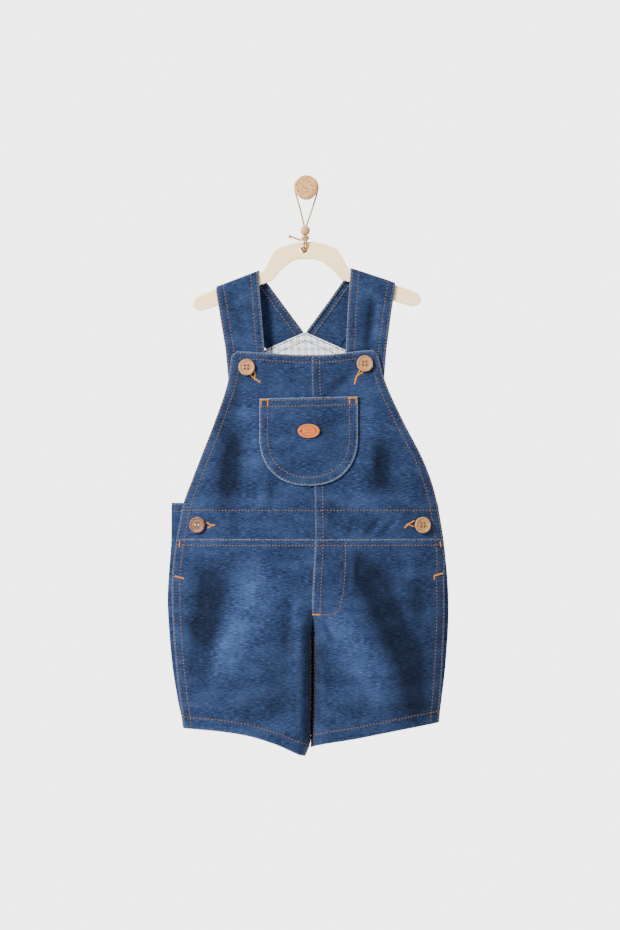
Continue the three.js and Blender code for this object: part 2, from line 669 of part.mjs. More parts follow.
// The wooden buttons: a round edge, a raised rim with a slope inside it, and four sewing holes
const BUTTON = { radius: 8.6, thickness: 3, dish: 0.7, gap: 0.5, sides: 24 };
const BUTTON_EDGE = { back: 1, front: 0.8 };
const BUTTON_RIM = { width: 2, slope: 1 };
const BUTTON_HOLE = { at: 1.75, radius: 0.95, sides: 6 };
const BUTTONS = [
  { name: "button_bib_left", x: -62.5, z: -188.2 },
  { name: "button_bib_right", x: 61.3, z: -184.4 },
  { name: "button_side_left", x: -113.9, z: -353.5 },
  { name: "button_side_right", x: 121.5, z: -353.6 },
];

function buttonGeometry() {
  const { radius, thickness, dish, sides } = BUTTON;
  const { at, radius: holeRadius, sides: holeSides } = BUTTON_HOLE;
  const profile = [
    [0, 0],
    [radius - BUTTON_EDGE.back, 0],
    [radius, BUTTON_EDGE.back],
    [radius, thickness - BUTTON_EDGE.front],
    [radius - BUTTON_EDGE.front, thickness],
    [radius - BUTTON_RIM.width, thickness],
    [radius - BUTTON_RIM.width - BUTTON_RIM.slope, thickness - dish],
    [0, thickness - dish],
  ];
  const disc = new THREE.LatheGeometry(profile.map(([r, y]) => new THREE.Vector2(r, y)), sides);
  let solid = solidOf(disc);
  const hole = new THREE.CylinderGeometry(holeRadius, holeRadius, 3 * thickness, holeSides);
  for (const x of [-at, at]) {
    for (const z of [-at, at]) {
      solid = solid.subtract(solidOf(hole, new THREE.Matrix4().makeTranslation(x, 0, z)));
    }
  }
  return geometryOf(solid);
}

// The direction in which the front faces at x, z, from its slopes over this reach to each side.
const SLOPE_REACH = 6;

function frontNormal(x, z) {
  const reach = SLOPE_REACH;
  const acrossSlope = (bibDepthAt(x + reach, z) - bibDepthAt(x - reach, z)) / (2 * reach);
  const upSlope = (bibDepthAt(x, z + reach) - bibDepthAt(x, z - reach)) / (2 * reach);
  return new THREE.Vector3(-acrossSlope, -1, -upSlope).normalize();
}

for (const { name, x, z } of BUTTONS) {
  const facing = frontNormal(x, z);
  const button = addPiece(name, buttonGeometry(), paleButton);
  button.quaternion.setFromUnitVectors(new THREE.Vector3(0, 1, 0), facing);
  button.position.set(x, -bibDepthAt(x, z), z).addScaledVector(facing, BUTTON.gap);
}

// The hanger, cut from birch ply: half its outline from the middle of the top edge to the middle of the
// lower edge, about its own centre
const HANGER = { x: -0.6, z: -63.5, tilt: 0.02, bevel: 0.7 };
const HANGER_HOLE = { x: -2.3, radius: 4.6, sides: 20 };
const HANGER_TOP = [
  [0, 7.3],
  [10, 7.0],
  [24, 3.2],
  [32.6, -0.4],
  [38.8, -10.6],
  [43.8, -21.4],
  [46.6, -23.1],
  [94.5, -40.3],
  [113.5, -47.2],
  [120.4, -53.6],
  [119, -60.6],
  [111, -62.8],
];
const HANGER_UNDER = [
  [93, -56.9],
  [48.3, -36.6],
  [36.2, -32.6],
  [26.8, -21.4],
  [15.6, -12.8],
  [8, -10.5],
  [0, -10.2],
];

{
  const right = [...HANGER_TOP, ...HANGER_UNDER].map(([x, z]) => new THREE.Vector2(x, z));
  const left = right.slice(1, -1).map((p) => new THREE.Vector2(-p.x, p.y)).reverse();
  const outline = new THREE.Shape([...right, ...left]);
  outline.holes.push(new THREE.Path(circle(HANGER_HOLE.radius, HANGER_HOLE.sides, HANGER_HOLE.x)));
  const board = new THREE.ExtrudeGeometry(outline, {
    depth: ARM.thickness - 2 * HANGER.bevel,
    bevelSize: HANGER.bevel,
    bevelOffset: -HANGER.bevel,
    bevelThickness: HANGER.bevel,
    bevelSegments: 1,
  });
  board.rotateZ(HANGER.tilt);
  turnToFront(addPiece("hanger", board, birch), HANGER.x, ARM.backDepth + HANGER.bevel, HANGER.z);
}

// The cork knob: a round neck from the wall, and a slightly wider front, whose edge is rounded over one
// middle corner
const KNOB = { neck: 10.6, front: 12.3, neckLength: 20.5, flare: 1, length: 28, edge: 1.6, sides: 28 };
{
  const corner = KNOB.edge * 0.3;
  const profile = [
    [0, 0],
    [KNOB.neck, 0],
    [KNOB.neck, KNOB.neckLength - KNOB.flare],
    [KNOB.front, KNOB.neckLength],
    [KNOB.front, KNOB.length - KNOB.edge],
    [KNOB.front - corner, KNOB.length - corner],
    [KNOB.front - KNOB.edge, KNOB.length],
    [0, KNOB.length],
  ];
  const knob = new THREE.LatheGeometry(profile.map(([r, y]) => new THREE.Vector2(r, y)), KNOB.sides);
  addPiece("wall_knob", knob, cork).rotation.x = Math.PI;
}

// The twine: x, depth and z of its middle, from the stopper knot behind the hanger's hole, up through the
// bead, over the knob and back
const TWINE = { radius: 0.9, sides: 8, loopSteps: 44, knotSteps: 28 };
const LOOP_ROUTE = [
  [-2.6, 5.4, -64.2],
  [-2.6, 10.5, -64.3],
  [-2.4, 14.9, -62.3],
  [-2.35, 15.7, -58.2],
  [-2.3, 15.6, -52.5],
  [-2.3, 15.6, -44.6],
  [-2.4, 15.7, -39.4],
  [-6.6, 16.3, -22.0],
  [-11.6, 16.6, -3.4],
  [-11.3, 16.6, 4.6],
  [-7.7, 16.6, 9.5],
  [0.0, 16.6, 12.2],
  [7.7, 16.6, 9.5],
  [11.3, 16.6, 4.6],
  [11.6, 16.6, -3.4],
  [6.0, 16.3, -22.0],
  [0.2, 15.7, -39.4],
  [-0.1, 15.6, -44.6],
  [-0.1, 15.6, -52.5],
  [0.1, 15.7, -58.2],
  [0.0, 14.9, -62.3],
  [-0.3, 10.5, -64.3],
  [-0.4, 5.4, -64.2],
];
const STOPPER = { x: -1.3, depth: 5.3, z: -64, radius: 5.2, halfDepth: 2.5, sides: 12, rings: 8 };

// A length of twine through the points of a route, each with its x, depth and z.
function twineAlong(route, stepCount) {
  const section = new THREE.Shape(circle(TWINE.radius, TWINE.sides));
  const path = new THREE.CatmullRomCurve3(route.map(([x, depth, z]) => new THREE.Vector3(x, -depth, z)));
  return new THREE.ExtrudeGeometry(section, { steps: stepCount, extrudePath: path });
}

{
  const cord = solidOf(twineAlong(LOOP_ROUTE, TWINE.loopSteps));
  const ball = new THREE.SphereGeometry(1, STOPPER.sides, STOPPER.rings);
  const place = new THREE.Matrix4()
    .makeTranslation(STOPPER.x, -STOPPER.depth, STOPPER.z)
    .scale(new THREE.Vector3(STOPPER.radius, STOPPER.halfDepth, STOPPER.radius));
  addPiece("hang_loop", geometryOf(cord.add(solidOf(ball, place))), twine);
}

// The bead, bored for the two strands
const BEAD = { x: -1.2, depth: 15.6, z: -44.7, radius: 5.15, bore: 2.6, rings: 8, sides: 20 };
{
  const openAngle = Math.asin(BEAD.bore / BEAD.radius);
  const profile = steps(BEAD.rings, openAngle, Math.PI - openAngle).map((angle) => {
    return new THREE.Vector2(BEAD.radius * Math.sin(angle), -BEAD.radius * Math.cos(angle));
  });
  const bead = addPiece("bead", new THREE.LatheGeometry([...profile, profile[0].clone()], BEAD.sides), beech);
  bead.rotation.x = Math.PI / 2;
  bead.position.set(BEAD.x, -BEAD.depth, BEAD.z);
}

// The knot below the bead: one and a half turns round the strands, and a short free end
const KNOT = { x: -1.2, depth: 15.6, topZ: -51.2, pitch: 2, turns: 1.5, radius: 3.3, stepsPerTurn: 8 };
const KNOT_FREE_END = [
  [-6.2, 13.6, -54.2],
  [-10.0, 13.9, -53.0],
  [-14.4, 15.2, -51.2],
];
{
  const count = KNOT.turns * KNOT.stepsPerTurn;
  const turns = steps(count).map((t) => {
    const angle = t * KNOT.turns * 2 * Math.PI;
    return [
      KNOT.x + KNOT.radius * Math.cos(angle),
      KNOT.depth + KNOT.radius * Math.sin(angle),
      KNOT.topZ - KNOT.pitch * KNOT.turns * t,
    ];
  });
  addPiece("twine_knot", twineAlong([...turns, ...KNOT_FREE_END], TWINE.knotSteps), twine);
}

export default dungarees;
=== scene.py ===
import math

import bpy
import numpy as np
from bpy.props import FloatProperty, FloatVectorProperty, PointerProperty
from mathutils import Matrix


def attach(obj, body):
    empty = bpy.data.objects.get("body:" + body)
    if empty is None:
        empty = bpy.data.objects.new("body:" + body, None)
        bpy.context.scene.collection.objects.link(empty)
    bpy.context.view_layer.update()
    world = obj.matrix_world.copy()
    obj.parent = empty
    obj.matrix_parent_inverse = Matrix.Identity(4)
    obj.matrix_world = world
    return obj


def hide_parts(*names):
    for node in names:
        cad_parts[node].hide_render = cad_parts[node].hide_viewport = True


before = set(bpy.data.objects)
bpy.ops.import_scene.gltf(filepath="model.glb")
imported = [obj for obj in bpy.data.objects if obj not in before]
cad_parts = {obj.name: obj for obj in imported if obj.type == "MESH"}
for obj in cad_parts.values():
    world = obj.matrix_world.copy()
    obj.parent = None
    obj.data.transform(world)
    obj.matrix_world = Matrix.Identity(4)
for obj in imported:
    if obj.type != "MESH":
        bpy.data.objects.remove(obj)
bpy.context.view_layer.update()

bl_info = {
    "name": "Short Denim Dungarees",
    "version": (1, 0, 0),
    "blender": (4, 5, 0),
    "location": "3D View > Sidebar > Dungarees",
    "description": "Builds child's short dungarees that hang on a birch hanger from a cork knob",
    "category": "Add Mesh",
}

# The formulas below work in millimetres, and the meshes are written in metres. The wall is y = 0 and
# depth is the distance from it, so a point's y is minus its depth. Left and right are as seen from the
# front.
MM = 0.001
LEFT = -1
RIGHT = 1
BODY = "root"


def side_name(side):
    """The name of a side, as seen from the front."""
    return "left" if side == LEFT else "right"


def table(columns, *rows):
    """Named columns of numbers, from rows of values."""
    values = np.array(rows, float)
    return {name: values[:, k] for k, name in enumerate(columns.split())}


# Sizes of the cloth and its layers
CLOTH = 1.4
SEAM_GAP = 0.3
LAP_GAP = 0.6
STRAP_THICKNESS = 2.0
FACING_THICKNESS = 1.2
BACK_DEPTH = 2.2
STRAP_DEPTH_AT_BACK = BACK_DEPTH + CLOTH + SEAM_GAP + STRAP_THICKNESS / 2
FACING_DEPTH = STRAP_DEPTH_AT_BACK + STRAP_THICKNESS / 2 + SEAM_GAP + FACING_THICKNESS

# Heights of the seams
WAIST_Z = -368.0
BACK_WAIST_TOP_Z = -330.5
UPPER_BACK_BOTTOM_Z = BACK_WAIST_TOP_Z + SEAM_GAP
FACING_BOTTOM_Z = -214.0
PEAK_Z, SHOULDER_Z = -150.6, -170.6
CROTCH_TOP, CROTCH_BOTTOM, CROTCH_DEPTH, INNER_ROLL = -424.0, -480.0, 9.6, 14.0
LEAST_ROLL = 0.02
INSEAM_STAGGER = 0.55
ROLL_START = 0.8
LAP_START, LAP_SETTLED = 0.02, 0.06

# The front from the bib's top edge to the hems: its side edges and middle seam across, and how far the
# outer face stands off the wall at the side edges and in the middle.
FRONT_ROWS = table(
    "z left seam right edge_depth mid_depth",
    (-172.0, -77.6, 5.4, 74.1, 18.4, 18.8),
    (-205.6, -82.8, 6.1, 83.6, 18.5, 19.6),
    (-243.4, -95.4, 7.1, 100.9, 18.5, 21.0),
    (-281.2, -110.2, 8.0, 120.6, 17.0, 23.5),
    (-306.4, -120.1, 8.5, 130.9, 15.0, 25.5),
    (-330.5, -129.2, 9.0, 137.7, 12.8, 27.5),
    (-350.5, -133.4, 9.2, 141.0, 12.4, 28.5),
    (-369.4, -136.7, 9.3, 143.9, 12.4, 29.5),
    (-390.4, -139.7, 8.6, 145.9, 12.4, 31.0),
    (-408.2, -141.2, 7.6, 145.2, 12.4, 32.0),
    (-432.4, -141.4, 6.5, 145.4, 12.4, 33.0),
    (-458.6, -140.4, 6.3, 145.2, 12.4, 34.0),
    (-484.9, -138.6, 6.3, 144.0, 12.4, 34.5),
    (-511.1, -136.2, 6.1, 142.6, 12.4, 34.5),
    (-537.4, -133.0, 5.4, 140.8, 12.4, 34.5),
    (-561.5, -129.8, 4.7, 139.0, 12.4, 34.0),
    (-598.0, -127.8, 4.7, 137.6, 12.4, 33.0),
)

# The inner edges of the two legs, below the crotch.
INSEAM_ROWS = table(
    "z left right",
    (-446, 6.35, 6.65),
    (-462, 6.35, 6.65),
    (-480, 6.35, 6.65),
    (-516, 6.35, 6.65),
    (-540, 6.0, 6.4),
    (-560, 5.5, 6.0),
    (-584, 3.9, 5.0),
    (-598, -1.8, 4.6),
)

# The sides, where the back turns to the front in a soft fold.
SIDE_ROWS = table(
    "z left right",
    (-330.5, -142.4, 138.6),
    (-350.5, -142.4, 141.8),
    (-369.4, -142.6, 144.8),
    (-390.4, -143.9, 147.0),
    (-408.2, -145.3, 148.6),
    (-432.4, -146.4, 149.8),
    (-458.6, -145.2, 149.6),
    (-484.9, -143.2, 148.0),
    (-511.1, -140.2, 145.8),
    (-537.4, -135.8, 142.6),
    (-561.5, -131.0, 140.0),
    (-598.0, -129.0, 138.6),
)

# The upper back's two armhole edges, below its shoulders.
BACK_ROWS = table(
    "z left right",
    (-170.6, -46.1, 43.7),
    (-205.0, -50.0, 48.5),
    (-243.0, -61.0, 61.5),
    (-281.0, -79.0, 81.0),
    (-306.0, -96.0, 99.0),
    (-330.2, -115.9, 119.3),
)

# The hems' heights, from the side edge (0) to the inseam (1).
HEMS = {
    LEFT: table(
        "across z",
        (0, -567.0),
        (0.26, -569.1),
        (0.46, -573.4),
        (0.65, -581.8),
        (0.82, -591.4),
        (1, -597.0),
    ),
    RIGHT: table(
        "across z",
        (0, -561.1),
        (0.3, -568.3),
        (0.62, -577.0),
        (0.86, -582.6),
        (1, -587.4),
    ),
}

# The largest folds: a trough has a negative height, and the angle leans a fold's lower end to +X.
FRONT_FOLDS = table(
    "x z length width height angle",
    (-77, -286, 92, 15, -2.0, -10),
    (-58, -262, 80, 14, 1.4, 4),
    (78, -292, 60, 14, -2.0, 4),
    (24.5, -262, 50, 15, -0.8, 0),
    (-63, -450, 120, 18, 3.0, -27),
    (-102, -438, 90, 17, -3.0, -4),
    (-30, -505, 110, 15, -2.0, -8),
    (84, -445, 128, 16, -3.4, 25),
    (51, -482, 104, 16, 2.8, 36),
    (112, -520, 90, 16, -2.4, 6),
)
BACK_FOLDS = table(
    "x z length width height angle",
    (-70, -470, 120, 18, -1.6, -20),
    (78, -455, 130, 18, -1.8, 18),
    (-32, -400, 70, 16, -1.2, 12),
    (40, -520, 90, 16, -1.4, -8),
)

# Smaller creases of the front, round the buttons, under the pocket and over the legs
CREASES = table(
    "x z length width height angle",
    (-71.8, -214, 50, 6, -0.9, -6),
    (35.3, -204.5, 40, 5, -1.2, -50),
    (78.3, -289.6, 46, 7, -1.0, 3),
    (67.8, -262, 84, 9, 1.0, 3),
    (-80, -290, 60, 7, -1.0, -9),
    (-35, -318, 32, 5, -0.8, -8),
    (-46, -322, 34, 6, 0.7, -6),
    (29, -344, 38, 5, -0.9, 2),
    (78.3, -354.7, 28, 3.4, 0.9, -45),
    (96, -350, 24, 3.2, 0.8, -40),
    (87, -354.5, 28, 3.0, -0.9, -43),
    (68, -356, 28, 3.4, -0.8, -38),
    (46, -355, 26, 4.0, -0.6, -15),
    (106, -343, 18, 3.0, -0.8, -60),
    (-75, -352, 32, 4.5, -0.7, 4),
    (-62, -353, 32, 4.5, 0.6, 2),
    (-96, -350, 22, 3.6, -0.6, 40),
    (-89, -357, 22, 3.4, 0.5, 42),
    (23.2, -465, 32, 3.4, -1.5, 28),
    (30.0, -462, 30, 4.0, 1.0, 28),
    (109.8, -393.5, 44, 8, 1.0, 10),
    (117, -432, 54, 9, -1.2, 8),
    (-9.9, -463, 80, 6, 0.9, 2),
    (-20, -452, 60, 5, -0.7, -3),
    (-92, -500, 60, 8, 0.8, -18),
    (-118, -480, 70, 7, -0.8, -5),
    (20, -500, 70, 6, -0.9, 12),
    (70, -520, 70, 8, 0.9, 20),
    (-60, -545, 44, 8, -0.7, -14),
    (-40, -415, 46, 7, -0.7, -30),
    (60, -400, 44, 6, -0.7, 24),
    (-30, -500, 104, 16, 1.3, -7),
    (-104, -500, 70, 12, -1.2, -12),
    (-84, -240, 44, 9, -0.7, -14),
    (-84, -326, 40, 9, -0.8, -22),
    (54, -310, 70, 12, 0.7, 6),
    (108, -322, 46, 9, 0.5, 12),
    (54.5, -400, 38, 3.6, -1.1, 0),
    (10, -520, 90, 7, -1.0, 0),
)
BACK_CREASES = table(
    "x z length width height angle",
    (-20, -220, 60, 9, -0.5, 12),
    (28, -260, 80, 10, -0.6, -10),
    (-96, -380, 50, 7, -0.7, 30),
    (100, -392, 56, 8, -0.7, -26),
    (-14, -452, 60, 6, 0.6, 8),
    (60, -500, 70, 8, -0.6, 14),
    (-88, -520, 60, 8, 0.6, -12),
)

# Rows of stitching lie at these distances from an edge or a lapped seam.
NEAR_ROW, FAR_ROW = 1.6, 8.6
LAP_NEAR_ROW, LAP_FAR_ROW = 1.2, 8.2
WAIST_FAR_ROW = 6.8
HEM_ROW = 11.8
FACING_ROW_Z = -338.0
LAP_LIFT, HEM_LIFT, STITCH_DENT, PUCKER = 0.45, 0.35, 0.4, 0.22

# The height of a fold whose ridge gets the most painted highlight and wash fading, and whose hollow the most
# painted shade
FULL_SHADE_AND_WASH_HEIGHT = 2.0


def mix(a, b, t):
    """a where t is 0, b where t is 1."""
    return a + (b - a) * t


def smooth(t):
    """A soft step: 3t^2 - 2t^3 between 0 and 1."""
    c = np.clip(t, 0.0, 1.0)
    return c * c * (3.0 - 2.0 * c)


def along(rows, column, at, key="z"):
    """A cubic curve through the rows of a table, with each row's slope taken from its two neighbours."""
    keys, values = rows[key], rows[column]
    if keys[0] > keys[-1]:
        keys, values = keys[::-1], values[::-1]
    at = np.asarray(at, float)
    slopes = np.empty_like(values)
    slopes[1:-1] = (values[2:] - values[:-2]) / (keys[2:] - keys[:-2])
    slopes[0] = (values[1] - values[0]) / (keys[1] - keys[0])
    slopes[-1] = (values[-1] - values[-2]) / (keys[-1] - keys[-2])
    k = np.clip(np.searchsorted(keys, at) - 1, 0, len(keys) - 2)
    span = keys[k + 1] - keys[k]
    t = np.clip((at - keys[k]) / span, 0.0, 1.0)
    t2, t3 = t * t, t * t * t
    return (
        (2 * t3 - 3 * t2 + 1) * values[k]
        + (t3 - 2 * t2 + t) * span * slopes[k]
        + (-2 * t3 + 3 * t2) * values[k + 1]
        + (t3 - t2) * span * slopes[k + 1]
    )


def fold_height(folds, x, z):
    """The sum of all folds: each is a bell across its line, exp(-(across / width)^2), that fades at both
    ends."""
    total = np.zeros(np.broadcast(x, z).shape)
    for fx, fz, length, width, height, angle in zip(*folds.values()):
        lean = math.radians(angle)
        down = -(z - fz) * math.cos(lean) + (x - fx) * math.sin(lean)
        across = (x - fx) * math.cos(lean) + (z - fz) * math.sin(lean)
        fade = 1.0 - smooth((np.abs(down) / (length / 2) - 0.45) / 0.75)
        total += height * fade * np.exp(-((across / width) ** 2))
    return total


def band(distance, width, edge=0.7):
    """1 within width of an edge and 0 beyond it, with a soft step."""
    return 1.0 - smooth((distance - width) / edge)


def bell(distance, width):
    """1 at a line, and falling off to both sides as exp(-(distance / width)^2)."""
    return np.exp(-((distance / width) ** 2))


def stitch_dents(distance, *rows):
    """Narrow dents, 1 deep, along rows of stitches at these distances from an edge."""
    return np.max([bell(distance - row, 0.55) for row in rows], axis=0)


def pucker(distance, length_along, reach=12.0):
    """The small gathers of a sewn edge: uneven waves about 8 mm long that die out away from the edge."""
    waves = np.sin(length_along * 0.74 + 1.9 * np.sin(length_along * 0.083))
    return PUCKER * waves * (0.7 + 0.3 * np.sin(length_along * 0.21)) * (1.0 - smooth(distance / reach))


def edge_x(side, z):
    """The front's side edge."""
    return along(FRONT_ROWS, side_name(side), z)


def seam_x(z):
    """The middle seam of the front."""
    return along(FRONT_ROWS, "seam", z)


def inner_x(side, z):
    """The inner edge of one half of the front: the middle seam, and below the crotch the inseam."""
    seam = seam_x(z) + side * SEAM_GAP / 2
    return np.where(z > INSEAM_ROWS["z"][0], seam, along(INSEAM_ROWS, side_name(side), z))


def back_inner_x(side, z):
    """The inner edge of one leg's back. Below the crotch both backs are pushed a little to the left, so
    that the gap between the backs doesn't lie behind the gap between the fronts."""
    return inner_x(side, z) - INSEAM_STAGGER * smooth((CROTCH_TOP - z) / 20.0)


def roll_angle(z):
    """How far the crotch has turned the inner edge under: nearly 0 at the hips, a right angle on the legs."""
    return mix(LEAST_ROLL, math.pi / 2, smooth((CROTCH_TOP - z) / (CROTCH_TOP - CROTCH_BOTTOM)))


def rolled(side, x, z):
    """How far round the inner roll a place is, as an angle: the arcsine of its share of the roll's reach."""
    share = np.clip(1.0 - side * (x - inner_x(side, z)) / INNER_ROLL, 0.0, 1.0)
    return np.arcsin(share * np.sin(roll_angle(z)))


def panel_share(side, x, z):
    """The share of the way from the side edge (0) to the inner edge (1), of which the roll is the last
    fifth."""
    edge = edge_x(side, z)
    flat = (x - edge) / (inner_x(side, z) + side * INNER_ROLL - edge)
    in_roll = ROLL_START + (1 - ROLL_START) * rolled(side, x, z) / roll_angle(z)
    return np.where(flat < 1.0, ROLL_START * np.maximum(flat, 0.0), in_roll)


def bib_top(side, u):
    """The height of the bib's top edge: rounded at the outer corner, and hollow towards the middle."""
    corner = {LEFT: -171.6, RIGHT: -170.2}[side]
    return mix(corner, -175.6, smooth(u * 1.1)) - 4.0 * (1.0 - smooth(u / 0.06))


def hem_z(side, u):
    """The height of a leg's hem at a share of the way across."""
    return along(HEMS[side], "z", u, key="across")


def front_base(side, x, z, small=True):
    """The depth of the front's face: it swells from the side edge to the middle as 1 - (1 - t)^3, and the
    folds are added to it, and the small creases where they are asked for."""
    edge = edge_x(side, z)
    t = np.clip((x - edge) / (seam_x(z) - edge), 0.0, 1.0)
    base = mix(along(FRONT_ROWS, "edge_depth", z), along(FRONT_ROWS, "mid_depth", z), 1.0 - (1.0 - t) ** 3)
    folds = fold_height(FRONT_FOLDS, x, z)
    if small:
        folds = folds + fold_height(CREASES, x, z)
    return base + folds * smooth(t / 0.18)


def front_relief(side, x, z, part):
    """How far hems, laps and their stitching stand out of the front's face, and how worn they are, from 0
    to 1."""
    from_edge = np.abs(x - edge_x(side, z))
    from_seam = np.abs(x - seam_x(z))
    height = HEM_LIFT * band(from_edge, FAR_ROW + 0.9) + pucker(from_edge, z)
    wear = 0.35 * bell(from_edge, 0.7)
    dents = stitch_dents(from_edge, NEAR_ROW, FAR_ROW)
    u = panel_share(side, x, z)
    if side == RIGHT:
        seamed = smooth((z + 447) / 2.0)
        height = height + (LAP_LIFT * band(from_seam, LAP_FAR_ROW + 0.9) + pucker(from_seam, z + 31)) * seamed
        wear = np.maximum(wear, 0.28 * bell(from_seam, 0.7) * seamed)
        dents = np.maximum(dents, stitch_dents(from_seam, LAP_NEAR_ROW, LAP_FAR_ROW) * seamed)
    if part == "bib":
        from_top = bib_top(side, u) - z
        height = height + HEM_LIFT * band(from_top, FAR_ROW) + pucker(from_top, x)
        wear = np.maximum(wear, 0.5 * bell(from_top, 0.8))
        dents = np.maximum(dents, stitch_dents(from_top, NEAR_ROW, FAR_ROW - 1.2))
        dents = np.maximum(dents, 0.8 * bell(z - FACING_ROW_Z, 0.6))
        height = height + pucker(np.abs(z - FACING_ROW_Z), x + 17, 7.0)
    else:
        from_waist = WAIST_Z - z
        from_hem = z - hem_z(side, u)
        height = height + LAP_LIFT * band(from_waist, WAIST_FAR_ROW + 0.9)
        height = height + HEM_LIFT * band(from_hem, HEM_ROW + 1.0)
        height = height + pucker(from_waist, x) + 1.3 * pucker(from_hem, x + 9, 16.0)
        wear = np.maximum(wear, np.maximum(0.35 * bell(from_waist, 0.8), 0.25 * bell(from_hem, 0.8)))
        dents = np.maximum(dents, stitch_dents(from_waist, LAP_NEAR_ROW, WAIST_FAR_ROW))
        dents = np.maximum(dents, stitch_dents(from_hem, HEM_ROW))
    return height - STITCH_DENT * dents, wear


def front_depth(side, x, z, part):
    """The depth of the front's face with its relief. Near the inseam it follows a quarter of an ellipse
    towards the wall, as far as the crotch has turned at that height. Returns the depth and the wear."""
    relief, wear = front_relief(side, x, z, part)
    flat = front_base(side, x, z) + relief
    return flat - (flat - CROTCH_DEPTH) * (1.0 - np.cos(rolled(side, x, z))), wear


def on_front(side, part, x, z):
    """Points of the front's face at x, z, and its outward direction there, from the slopes of its depth."""
    x, z = np.broadcast_arrays(np.asarray(x, float), np.asarray(z, float))
    reach = 0.5

    def depth(at_x, at_z):
        return front_depth(side, at_x, at_z, part)[0]

    across = (depth(x + reach, z) - depth(x - reach, z)) / (2 * reach)
    up = (depth(x, z + reach) - depth(x, z - reach)) / (2 * reach)
    points = np.stack([x, -depth(x, z), z], axis=-1)
    return points, unit(np.stack([-across, -np.ones_like(x), -up], axis=-1))


# Meshes

def unit(vectors):
    """Vectors of length 1."""
    return vectors / np.maximum(np.linalg.norm(vectors, axis=-1, keepdims=True), 1e-9)


def spread(first, count, last):
    """Grid lines between two edges: at fixed distances from the first edge, then evenly spaced, then at fixed
    distances from the second. Returns each line's share of the way, and the distance to add to it."""
    start, end = np.array(first, float), np.array(last, float)[::-1]
    t = np.linspace(0, 1, count + 2)[1:-1]
    share = np.concatenate([np.zeros(len(start)), t, np.ones(len(end))])
    shift = np.concatenate([start, mix(start[-1], -end[0], t), -end])
    return share, shift


def outward(grid, turn):
    """The outward direction at each point of a grid: the cross product of its two tangents, times turn."""
    across = np.gradient(grid, axis=0, edge_order=2)
    down = np.gradient(grid, axis=1, edge_order=2)
    return unit(np.cross(across, down)) * turn


def grid_faces(columns, rows, start=0):
    """The faces of a grid whose points are numbered column by column."""
    i, j = np.meshgrid(np.arange(columns - 1), np.arange(rows - 1), indexing="ij")
    a = (start + i * rows + j).ravel()
    return np.stack([a, a + rows, a + rows + 1, a + 1], axis=1)


def border_of(columns, rows):
    """The numbers of a grid's border points, in order round it."""
    top = np.arange(columns) * rows
    right = (columns - 1) * rows + np.arange(rows)
    return np.concatenate([top[:-1], right[:-1], (top + rows - 1)[:0:-1], np.arange(rows)[:0:-1]])


def cloth_wall(grid, thickness, turn, rounding=0.25):
    """A closed wall of cloth: the grid, the same grid moved in by the thickness, and a rounded rim
    between them, whose middle ring stands out by rounding times the thickness."""
    columns, rows = grid.shape[:2]
    inner = grid - outward(grid, turn) * thickness
    across = unit(np.gradient(grid, axis=0, edge_order=2))
    down = unit(np.gradient(grid, axis=1, edge_order=2))
    away = np.zeros_like(grid)
    away[0] -= across[0]
    away[-1] += across[-1]
    away[:, 0] -= down[:, 0]
    away[:, -1] += down[:, -1]
    border = border_of(columns, rows)
    count = columns * rows
    outer_points, inner_points = grid.reshape(-1, 3), inner.reshape(-1, 3)
    ring = (outer_points[border] + inner_points[border]) / 2
    ring = ring + unit(away.reshape(-1, 3)[border]) * thickness * rounding
    following = np.roll(border, -1)
    middle = 2 * count + np.arange(len(border))
    middle_next = np.roll(middle, -1)
    faces = np.concatenate([
        grid_faces(columns, rows),
        grid_faces(columns, rows, count)[:, ::-1],
        np.stack([following, border, middle, middle_next], axis=1),
        np.stack([middle_next, middle, border + count, following + count], axis=1),
    ])
    if turn < 0:
        faces = faces[:, ::-1]
    return np.concatenate([outer_points, inner_points, ring]), faces, border


def make_object(name, points, faces, uv=None, attributes=None):
    """A smooth-shaded object from points in millimetres and faces, with a UV map and point attributes."""
    mesh = bpy.data.meshes.new(name)
    mesh.from_pydata((points * MM).tolist(), [], faces)
    mesh.polygons.foreach_set("use_smooth", np.ones(len(mesh.polygons), bool))
    if uv is not None:
        corners = np.empty(len(mesh.loops), np.int32)
        mesh.loops.foreach_get("vertex_index", corners)
        mesh.uv_layers.new(name="Cloth").data.foreach_set("uv", uv[corners].astype(np.float32).ravel())
    for key, values in (attributes or {}).items():
        mesh.attributes.new(key, "FLOAT", "POINT").data.foreach_set("value", np.asarray(values, np.float32))
    mesh.update()
    piece = bpy.data.objects.new(name, mesh)
    bpy.context.scene.collection.objects.link(piece)
    return piece


def lengths_along(grid, axis):
    """The length walked from the first point of a grid to each other, along one axis."""
    walked = np.cumsum(np.linalg.norm(np.diff(grid, axis=axis), axis=-1), axis=axis)
    pad = [(0, 0), (0, 0)]
    pad[axis] = (1, 0)
    return np.pad(walked, pad)


